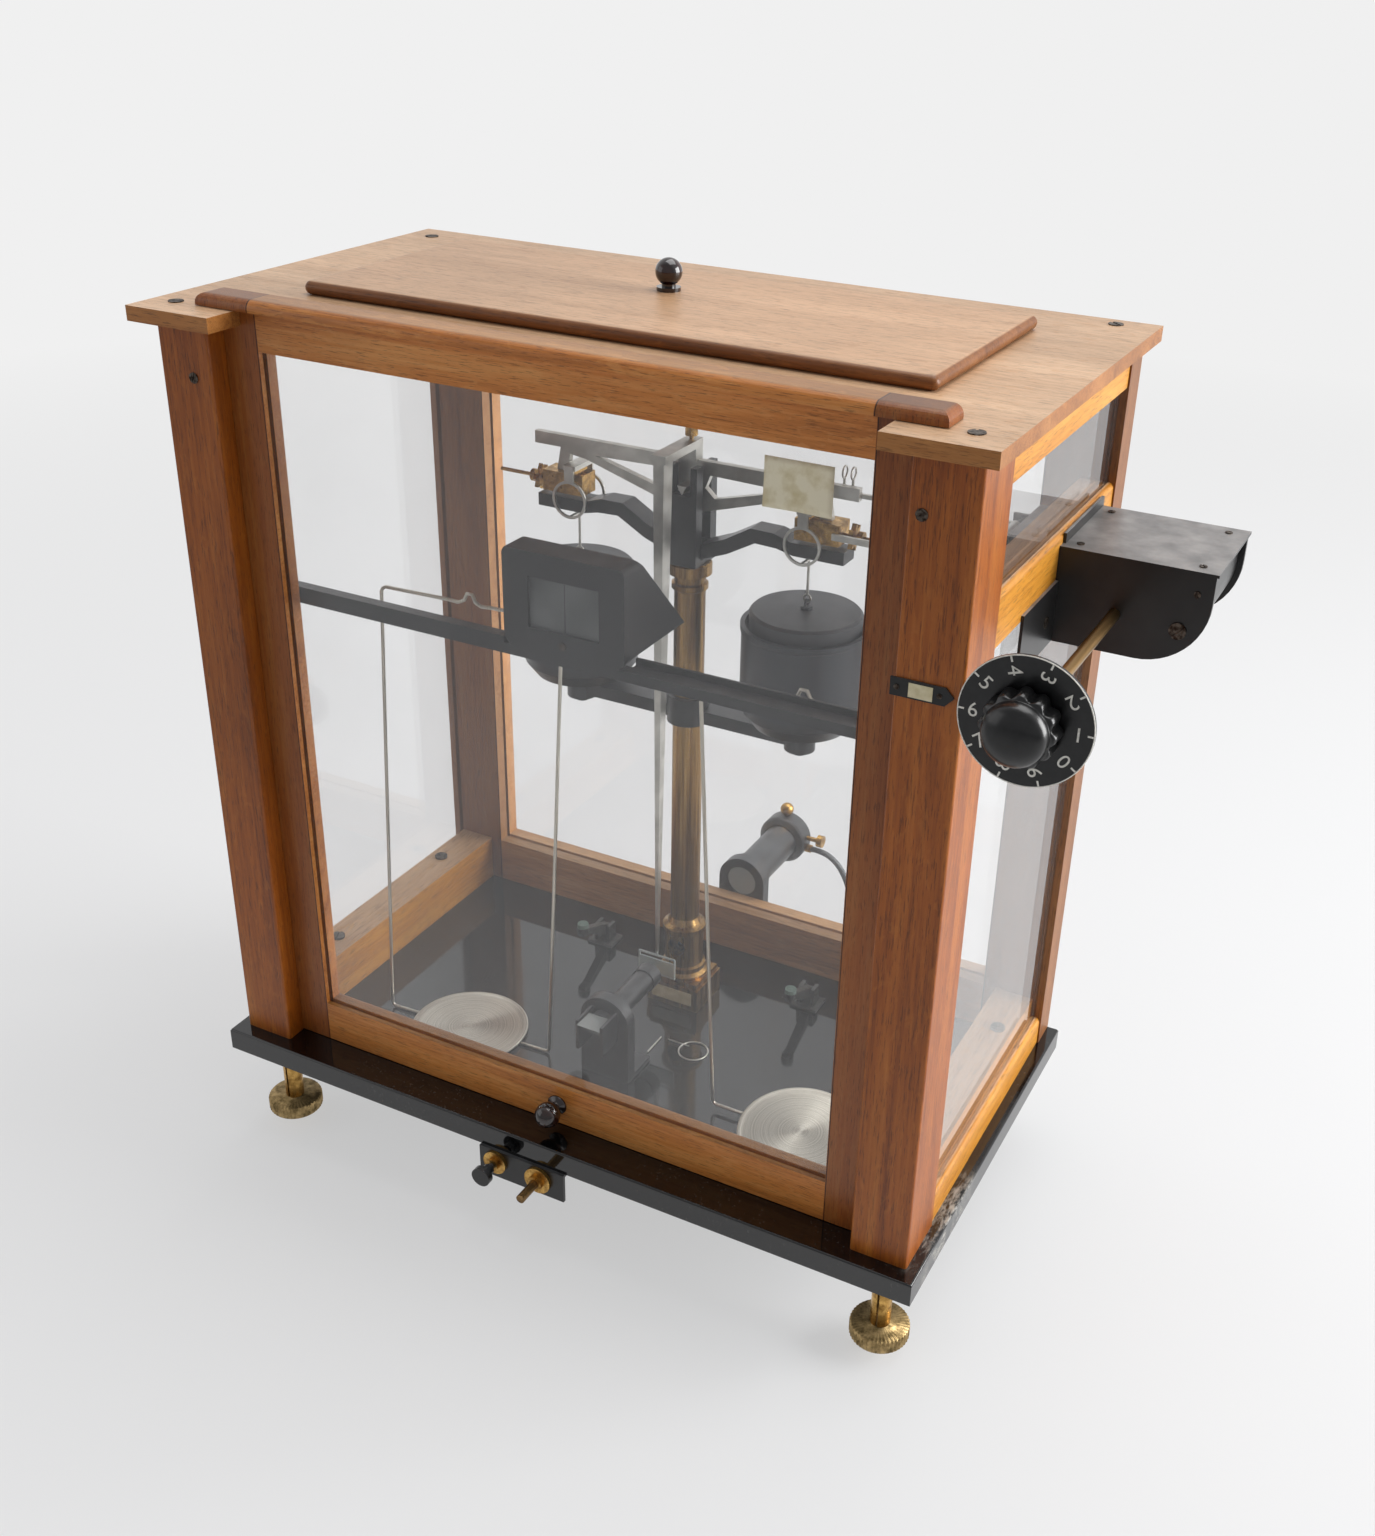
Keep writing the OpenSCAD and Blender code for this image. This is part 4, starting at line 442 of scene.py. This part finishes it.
post_screws = [(-197.4, POST_FRONT, 404.8, 1.2), (192.3, POST_FRONT, 404.3, 0.4)]
piece("post_screws", sum([slotted_head(s[:3], "front", 2.8, s[3]) for s in post_screws], []), old_steel, "case")


def brass(name, bright, brown, roughness, stretch=(1, 1, 1), size_mm=6):
    """Brass gone brown in patches, drawn out along an axis by stretch."""
    made, tree, shader, where = material(name, bright, roughness, Metallic=1.0)
    laid = node(tree, "Mapping", {"Vector": where, "Scale": tuple(1 / s for s in stretch)})
    oxide = node(tree, "TexNoise", {"Vector": laid, "Scale": 1000 / size_mm, "Detail": 6.0, "Roughness": 0.65})
    tone = node(tree, "ValToRGB", {"Fac": oxide}, [(0.36, bright), (0.64, brown)])
    tree.links.new(tone.outputs[0], shader.inputs["Base Color"])
    matt = node(tree, "MapRange", {"Value": oxide, "From Min": 0.36, "From Max": 0.64, "To Min": roughness,
                                   "To Max": roughness + 0.22})
    tree.links.new(matt.outputs[0], shader.inputs["Roughness"])
    return made


# Turned brass: yellow, with brown fingerprints a few millimetres across
turned_brass = brass("turned_brass", "#d6ab62", "#83602f", 0.24, size_mm=5)
sill_screws = [(s * x, y, SILL_TOP, t) for s in (-1, 1) for x, y, t in ((202, 190.6, 0.7), (200.5, 77.5, 2.0))]
piece("sill_screws", sum([slotted_head(s[:3], "top", 4.2, s[3], 1.4) for s in sill_screws], []), old_steel, "case")

# Black fittings: cross bar, screen box, brackets, lamp, objective and weight housing are
# bent sheet and castings under black enamel, with dust on what looks up.


def enamel(name, colour, dusty, roughness, amount):
    """Stoved enamel: a faint orange peel, and dust in patches on faces that look up. A large amount also paints in the
    sheen of the light on them.
    """
    made, tree, shader, where = material(name, colour, roughness, Coat_Weight=0.1, Coat_Roughness=0.25)
    looks = node(tree, "SeparateXYZ", {"Vector": node(tree, "NewGeometry", {}).outputs["Normal"]}).outputs["Z"]
    top = node(tree, "ValToRGB", {"Fac": looks}, [(0.2, 0.04), (0.95, 1.0)])
    patchy = node(tree, "TexNoise", {"Vector": where, "Scale": 1000 / 14, "Detail": 6.0})
    patchy = node(tree, "MapRange", {"Value": patchy, "From Min": 0.3, "From Max": 0.7, "To Min": 0.4 * amount, "To Max": amount})
    # Upward faces mix toward the grey: dust, and on the weight housing a painted sheen as well
    dust_and_sheen_mask = node(tree, "Math", {0: top.outputs[0], 1: patchy}, operation="MULTIPLY")
    tone = node(tree, "Mix", {0: dust_and_sheen_mask, 6: colour, 7: dusty}, data_type="RGBA")
    tree.links.new(tone.outputs[2], shader.inputs["Base Color"])
    peel = node(tree, "TexNoise", {"Vector": where, "Scale": 1000 / 1.2, "Detail": 2.0})
    bump = node(tree, "Bump", {"Height": peel, "Distance": 0.00002, "Strength": 0.4})
    tree.links.new(bump.outputs[0], shader.inputs["Normal"])
    return made


# Black stoved enamel: satin, near black, grey only where dust lies
dress(enamel("satin_black_enamel", "#0b0b0c", "#77787a", 0.34, 0.45), "cross_bar", "screen_box", "damper_bracket",
      "bearing_fork", "objective_unit", "lamp_unit", "index_plate", "control_plate", "arrest_yoke", "brake_spindle")
# The weight housing's flat top is painted grey: partly dust and handling, partly a painted reflection of the light on
# its satin black
dress(enamel("dusty_black_enamel_painted_sheen", "#0b0b0c", "#a3a09e", 0.34, 0.8), "weight_housing")
# Blue-black lacquer on the damper cylinders, grey on the vessels that hang in them
dress(enamel("blue_black_lacquer", "#1c2027", "#54575d", 0.42, 0.5), "damper_pot_left", "damper_pot_right")
dress(enamel("dark_grey_lacquer", "#303236", "#717376", 0.5, 0.6), "vessel_left", "vessel_right")
dress(enamel("brown_black_lacquer", "#262522", "#5c5b55", 0.45, 0.6), "brake_lever_left", "brake_lever_right",
      "brake_brackets")

# Housing screws: small steel heads, four on the lid, two on the front plate and one on
# the tongue that runs along the side of the case
HOUSING_TOP, HOUSING_FRONT, TONGUE_SIDE = 355.0, 138.0, 218.5
tops = [(225, 146, 0.3), (225, 200, 1.4), (284, 146, 2.2), (284, 200, 0.9)]
heads = [slotted_head((x, y, HOUSING_TOP), "top", 1.9, t) for x, y, t in tops]
heads.append(slotted_head((278.5, HOUSING_FRONT, 324.2), "front", 4.2, 0.8, 0.9))
heads.append(slotted_head((284.9, HOUSING_FRONT, 343.9), "front", 1.7, 2.0))
heads.append(slotted_head((TONGUE_SIDE, 124.6, 320.5), "right", 3.0, 1.1))
piece("housing_screws", sum(heads, []), old_steel, "case")

# Column and shafts: drawn brass tube and rod, brown in long streaks
dress(brass("drawn_brass_column", "#b08c55", "#664c2d", 0.25, (1, 1, 30), 4), "column")
dress(brass("drawn_brass_shaft", "#a68557", "#665036", 0.28, (1, 30, 1), 4), "dial_shaft", "arrest_spindle")
dress(turned_brass, "beam_fittings", "lamp_terminals", "control_flanges", "foot_bushes")

# Levelling feet: turned brass discs on screws, bronzed brown, with a knurled edge
# Bronzed brass: dull brown-yellow, darker in patches
bronze = brass("bronzed_brass", "#bfa474", "#71603f", 0.44, size_mm=5)
dress(bronze, "rear_foot")
FOOT_X, FOOT_Y, TABLE, DISC_RADIUS, DISC_LOW, DISC_HIGH, SCREW_RADIUS = 201.5, 24.5, -76.0, 16.6, -66.0, -57.4, 4.0
KNURL = 0.8
foot_profile = [
    (0.05, TABLE), (2.2, TABLE), (3.3, TABLE + 1.5), (3.3, DISC_LOW - 1), (7, DISC_LOW), (DISC_RADIUS - 0.9, DISC_LOW),
    (DISC_RADIUS, DISC_LOW + 0.9, KNURL), (DISC_RADIUS, DISC_HIGH - 0.9, KNURL), (DISC_RADIUS - 0.9, DISC_HIGH),
    (SCREW_RADIUS, DISC_HIGH), (SCREW_RADIUS, -16), (0.05, -16)]
for side, name in ((-1, "left"), (1, "right")):
    turned = revolve(foot_profile, (side * FOOT_X, FOOT_Y, 0), *SEEN_FROM["top"], 220, 44)
    piece("levelling_disc_" + name, [turned], bronze, "levelling_" + name, True, ("foot_" + name,))

# Column plate: a bare plate of yellowed ivory resin, pinned to the front of the base
# Ivory resin: cream, a little translucent to the eye and browned in patches
ivory, tree, shader, where = material("ivory_resin", "#d9cda8", 0.35)
brown = node(tree, "TexNoise", {"Vector": where, "Scale": 1000 / 6, "Detail": 4.0})
brown = node(tree, "ValToRGB", {"Fac": brown}, [(0.35, "#c6b78c"), (0.7, "#e2d8b8")])
tree.links.new(brown.outputs[0], shader.inputs["Base Color"])
PLATE_HALF, PLATE_LOW, PLATE_HIGH, BASE_FRONT = 14.0, 4.0, 13.0, 154.0
plate = [(-PLATE_HALF, PLATE_LOW), (PLATE_HALF, PLATE_LOW), (PLATE_HALF, PLATE_HIGH), (-PLATE_HALF, PLATE_HIGH)]
piece("column_plate", [prism(plate, (0, BASE_FRONT, 0), *SEEN_FROM["front"], 0.6)], ivory, "case")

# Beam, pointer, hangers and lifters: brass plated with matt nickel, a little cloudy
# Matt nickel: warm grey, with soft wide highlights
nickel, tree, shader, where = material("matt_nickel_plate", "#cfcdc6", 0.36, Metallic=1.0)
cloud = node(tree, "TexNoise", {"Vector": where, "Scale": 1000 / 12, "Detail": 6.0})
tone = node(tree, "ValToRGB", {"Fac": cloud}, [(0.35, "#b9b7b0"), (0.7, "#dddbd4")])
tree.links.new(tone.outputs[0], shader.inputs["Base Color"])
dress(nickel, "beam_truss", "pointer", "stirrup_left", "stirrup_right", "weight_lifters", "loose_ring")

# Pans: spun discs, brushed while they turned, on nickel wire bows


def spun_nickel(name, x, y):
    """Nickel brushed in rings about (x, y): the pattern depends on the distance to the middle, the sheen runs round it."""
    made, tree, shader, where = material(name, "#c9c4b8", 0.36, Metallic=1.0, Anisotropic=0.75)
    middle = place((x, y, 0))
    off = node(tree, "VectorMath", {0: where, 1: tuple(middle.tolist())}, operation="SUBTRACT")
    flat = node(tree, "VectorMath", {0: off, 1: (1, 1, 0)}, operation="MULTIPLY")
    round_it = node(tree, "VectorMath", {0: (0, 0, 1), 1: flat}, operation="CROSS_PRODUCT")
    tree.links.new(round_it.outputs[0], shader.inputs["Tangent"])
    away = node(tree, "VectorMath", {0: flat}, operation="LENGTH").outputs["Value"]
    rings = node(tree, "TexNoise", {"W": away, "Scale": 1000 / 0.8, "Detail": 3.0}, noise_dimensions="1D")
    tone = node(tree, "ValToRGB", {"Fac": rings}, [(0.3, "#b5b0a3"), (0.7, "#d6d1c5")])
    tree.links.new(tone.outputs[0], shader.inputs["Base Color"])
    bump = node(tree, "Bump", {"Height": rings, "Distance": 0.00004, "Strength": 0.6})
    tree.links.new(bump.outputs[0], shader.inputs["Normal"])
    return made


PAN_RADIUS, WIRE_RADIUS, BOW_HALF, BOW_TOP, WIRE_LOW, SEAT = 36.0, 1.0, 56.0, 286.0, 1.3, 0.05
dish = [
    (0.05, SEAT), (PAN_RADIUS - 4, SEAT), (PAN_RADIUS - 0.8, 1.0), (PAN_RADIUS, 1.9), (PAN_RADIUS, 2.9),
    (PAN_RADIUS - 0.4, 3.2), (PAN_RADIUS - 1, 3.2), (PAN_RADIUS - 2.2, 2.9), (PAN_RADIUS - 5, 2.8), (0.05, 2.8)]
half_bow = [
    (PAN_RADIUS - 5, WIRE_LOW), (BOW_HALF - 2.5, WIRE_LOW), (BOW_HALF - 0.7, WIRE_LOW + 0.8), (BOW_HALF, WIRE_LOW + 2.5),
    (BOW_HALF, BOW_TOP - 3), (BOW_HALF - 1, BOW_TOP - 1), (BOW_HALF - 3, BOW_TOP), (13, BOW_TOP), (7, BOW_TOP - 0.4),
    (3.4, BOW_TOP + 1.4), (1.7, BOW_TOP + 5.5)]
# The right pan stands tilted, so that its bow leans on the back of the cross bar
CROSS_BAR_BACK, RIGHT_PAN_Y = 48.15, 76.0
tilt = math.asin((RIGHT_PAN_Y - CROSS_BAR_BACK - WIRE_RADIUS) / (BOW_TOP + 5.5))
for name, at, turned, leant, tilted in (
        ("left", (-96.5, 70.8, 0), math.radians(3.5), math.radians(3.1), 0),
        ("right", (126.4, RIGHT_PAN_Y, (PAN_RADIUS - 4) * math.sin(tilt)), 0, 0, tilt)):
    side = np.array([(x, z) for x, z in half_bow])
    wire = np.vstack([side, side[::-1] * (-1, 1)])
    wire[:, 0] += math.tan(leant) * np.maximum(wire[:, 1] - WIRE_LOW - 2.5, 0)
    pose = np.array(Matrix.Rotation(tilted, 3, "X") @ Matrix.Rotation(turned, 3, "Z"))
    bow = tube(np.stack([wire[:, 0], 0 * wire[:, 0], wire[:, 1]], 1), WIRE_RADIUS, 12, (0, 1, 0))
    shapes = [(points @ pose.T + at, faces) for points, faces in (revolve(dish, (0, 0, 0), *SEEN_FROM["top"], 96), bow)]
    spun = spun_nickel("spun_nickel_" + name, *at[:2])
    piece("weighing_pan_" + name, shapes, spun, name + "_pan", True, ("pan_" + name,))

# Pan brakes: green-grey felt tips, glued on the levers under the pans
# Felt: matt, with a fine fibrous mottle
felt, tree, shader, where = material("green_grey_felt", "#6f8076", 0.95)
fuzz = node(tree, "TexNoise", {"Vector": where, "Scale": 1000 / 0.8, "Detail": 5.0})
fuzz = node(tree, "ValToRGB", {"Fac": fuzz}, [(0.3, "#55665c"), (0.7, "#83948a")])
tree.links.new(fuzz.outputs[0], shader.inputs["Base Color"])
for side, name in ((-1, "left"), (1, "right")):
    tip = prism(circle(3.6), (side * 75, 170, 25.9), *SEEN_FROM["top"], 2.75)
    piece("brake_felt_" + name, [tip], felt, "brake_" + name)

# Knobs and dial: lid and sash knobs are turned resin, polished dark brown. The dial and
# its scalloped knob are black moulded resin.
# Turned resin: deep brown under a hard polish
resin, tree, shader, where = material("polished_brown_resin", "#1c0d0a", 0.1, Coat_Weight=0.6, Coat_Roughness=0.04)
depth = node(tree, "TexNoise", {"Vector": where, "Scale": 1000 / 6, "Detail": 4.0})
depth = node(tree, "ValToRGB", {"Fac": depth}, [(0.4, "#130807"), (0.75, "#33160f")])
tree.links.new(depth.outputs[0], shader.inputs["Base Color"])
dress(resin, "lid_knob")


def ball(radius, middle, start):
    """Rows of a ball of that radius about a height, from an angle below its middle up to its top."""
    angle = np.linspace(start, np.pi / 2 - 0.01, 18)
    return [(radius * math.cos(a), middle + radius * math.sin(a)) for a in angle]


sash_knob = [(0.05, 0), (6.0, 0), (6.2, 0.7), (5.6, 1.5), (3.6, 2.2), (3.2, 3.6), (3.4, 4.6), *ball(7.4, 10.6, -1.0)]
turned = revolve(sash_knob, (-1.5, 22, 13.5), *SEEN_FROM["front"], 48)
piece("sash_pull", [turned], resin, "sash", True, ("sash_knob",))
# Moulded resin: black, with a soft gloss
moulding, tree, shader, where = material("black_moulded_resin", "#0e0e0f", 0.28, Coat_Weight=0.2, Coat_Roughness=0.15)
wear = node(tree, "TexNoise", {"Vector": where, "Scale": 1000 / 5, "Detail": 5.0})
wear = node(tree, "ValToRGB", {"Fac": wear}, [(0.4, "#0b0b0c"), (0.8, "#1a1a1b")])
tree.links.new(wear.outputs[0], shader.inputs["Base Color"])
dress(moulding, "weight_dial", "lead_plug")
DIAL_X, DIAL_FACE, DIAL_Z, DIAL_RADIUS = 247.5, 3.0, 326.0, 30.0
SKIRT_RADIUS, SKIRT_HEIGHT, CAP_RADIUS, SCALLOPS, SCALLOP_DEPTH = 17.2, 10.5, 14.2, 12, 2.0
dome = [(CAP_RADIUS * math.cos(a), SKIRT_HEIGHT + 3 + 6.8 * math.sin(a)) for a in np.linspace(0, np.pi / 2 - 0.01, 14)]
knob = [
    (0.05, 0), (SKIRT_RADIUS - 0.5, 0, SCALLOP_DEPTH), (SKIRT_RADIUS, 0.5, SCALLOP_DEPTH),
    (SKIRT_RADIUS - 0.3, SKIRT_HEIGHT - 1.2, SCALLOP_DEPTH), (SKIRT_RADIUS - 1.1, SKIRT_HEIGHT, SCALLOP_DEPTH * 0.6),
    (CAP_RADIUS + 0.5, SKIRT_HEIGHT), (CAP_RADIUS + 0.3, SKIRT_HEIGHT + 0.8), (CAP_RADIUS + 0.5, SKIRT_HEIGHT + 1.6), *dome]
turned = revolve(knob, (DIAL_X, DIAL_FACE - 1.5, DIAL_Z), *SEEN_FROM["front"], 192, SCALLOPS)
piece("dial_grip", [turned], moulding, "dial", True, ("dial_knob",))

# Dial figures: the numbers 0 to 9 and a mark for each, filled with white paint, and a
# worn pale rim. A number stands upright when it is at the index plate on the left.
# White filling: matt and a little yellow, patchy from wear
paint, tree, shader, where = material("white_dial_filling", "#e6e3da", 0.6)
worn = node(tree, "TexNoise", {"Vector": where, "Scale": 1000 / 2, "Detail": 4.0})
worn = node(tree, "ValToRGB", {"Fac": worn}, [(0.3, "#cfccc2"), (0.6, "#ebe8df")])
tree.links.new(worn.outputs[0], shader.inputs["Base Color"])
NUMBER_HEIGHT, NUMBER_AT, MARK_FROM, MARK_HALF, RAISED = 6.8, 23.0, 26.9, 0.42, 0.08
AT_INDEX, STEP = 6, math.radians(36)
marks, numbers = [], []
for number in range(10):
    angle = math.pi - STEP * (AT_INDEX - number)
    outward = np.array([math.cos(angle), 0, math.sin(angle)])
    inward_across = np.array([math.sin(angle), 0, -math.cos(angle)])
    foot = np.array([DIAL_X, DIAL_FACE, DIAL_Z])
    bar = [(MARK_FROM, -MARK_HALF), (DIAL_RADIUS - 0.6, -MARK_HALF), (DIAL_RADIUS - 0.6, MARK_HALF), (MARK_FROM, MARK_HALF)]
    marks.append(prism(bar, foot, outward, -inward_across, RAISED))
    drawn = bpy.data.curves.new("number", "FONT")
    drawn.body, drawn.size, drawn.extrude = str(number), NUMBER_HEIGHT / 0.72, RAISED
    drawn.align_x, drawn.align_y = "CENTER", "CENTER"
    shown = bpy.data.objects.new("number", drawn)
    flat = bpy.data.meshes.new_from_object(shown)
    bpy.data.objects.remove(shown)
    corners = np.empty(3 * len(flat.vertices))
    flat.vertices.foreach_get("co", corners)
    corners = corners.reshape(-1, 3)
    middle = foot + NUMBER_AT * outward
    lie = middle + corners[:, :1] * -outward + corners[:, 1:2] * inward_across + corners[:, 2:] * np.array([0, -1, 0])
    numbers.append((lie, [list(face.vertices) for face in flat.polygons]))
piece("dial_marks", marks, paint, "dial")
piece("dial_numbers", numbers, paint, "dial")
rim_turn = np.arange(96) * 2 * np.pi / 96
rim = np.stack([DIAL_X + (DIAL_RADIUS - 0.25) * np.cos(rim_turn), np.full(96, DIAL_FACE + 0.1), DIAL_Z + (DIAL_RADIUS - 0.25) * np.sin(rim_turn)], 1)
piece("dial_rim", [tube(rim, 0.3, 8, (0, 1, 0), True)], paint, "dial", True)

# Index plate: a cream window and two small screws on the black pointer beside the dial
PLATE_FRONT = 8.5
window = [(193.1, 322.5), (204.3, 322.5), (204.3, 329.2), (193.1, 329.2)]
piece("index_window", [prism(window, (0, PLATE_FRONT, 0), *SEEN_FROM["front"], 0.15)], ivory, "case")
heads = [slotted_head((x, PLATE_FRONT, DIAL_Z), "front", 1.3, t, 0.35) for x, t in ((187.6, 0.6), (207.4, 1.3))]
piece("index_screws", sum(heads, []), old_steel, "case")

# Ticket: a bare cream card, stuck at its top edge inside reach of the front glass
# Card: matt and yellowed, with soft brown foxing
card, tree, shader, where = material("yellowed_card", "#e3d9bb", 0.85)
foxing = node(tree, "TexNoise", {"Vector": where, "Scale": 1000 / 7, "Detail": 5.0})
foxing = node(tree, "ValToRGB", {"Fac": foxing}, [(0.3, "#cdbf98"), (0.55, "#e6ddc2")])
tree.links.new(foxing.outputs[0], shader.inputs["Base Color"])
TICKET = (112.7, 146.0, 389.5, 412.5)
GLASS_FRONT, CARD_THICK = 25.0, 0.3
card_x, card_z = np.meshgrid(np.linspace(TICKET[0], TICKET[1], 12), np.linspace(TICKET[2], TICKET[3], 9), indexing="ij")
lift = 0.25 + 0.9 * ((TICKET[3] - card_z) / (TICKET[3] - TICKET[2])) ** 3 * np.abs(card_x - np.mean(TICKET[:2])) / 17
face = np.stack([card_x, GLASS_FRONT - lift, card_z], -1)
i, j = np.meshgrid(np.arange(11), np.arange(8), indexing="ij")
quads = np.stack([i * 9 + j, (i + 1) * 9 + j, (i + 1) * 9 + j + 1, i * 9 + j + 1], -1).reshape(-1, 4)
ticket = piece("ticket", [(face.reshape(-1, 3), quads.tolist())], card, "sash", True)
thick = ticket.modifiers.new("thickness", "SOLIDIFY")
thick.thickness = CARD_THICK * MM
thick.offset = -1

# Optics: the ground glass of the scale with its dark index line, the lamp lens and prism
# Ground glass: grey, matt and even
ground, tree, shader, where = material("ground_screen_glass", "#595b5a", 0.45)
even = node(tree, "TexNoise", {"Vector": where, "Scale": 1000 / 20, "Detail": 5.0})
even = node(tree, "ValToRGB", {"Fac": even}, [(0.3, "#4b4d4c"), (0.7, "#676968")])
tree.links.new(even.outputs[0], shader.inputs["Base Color"])
dress(ground, "screen_glass")
SCREEN_FRONT, LINE_HALF = 38.5, 0.22
line = [(-LINE_HALF, 299), (LINE_HALF, 299), (LINE_HALF, 325.4), (-LINE_HALF, 325.4)]
piece("screen_line", [prism(line, (0, SCREEN_FRONT, 0), *SEEN_FROM["front"], 0.1)], moulding, "case")
box_front = 36.5
piece("screen_screw", slotted_head((-0.5, box_front, 292.2), "front", 2.2, 0.7), old_steel, "case")
# Optical glass: clear and polished, faintly green at its edges
lens_glass, tree, shader, where = material("polished_optical_glass", "#dfe5e2", 0.04, IOR=1.5, Transmission_Weight=0.6)
dress(lens_glass, "optics_glass", "graticule")
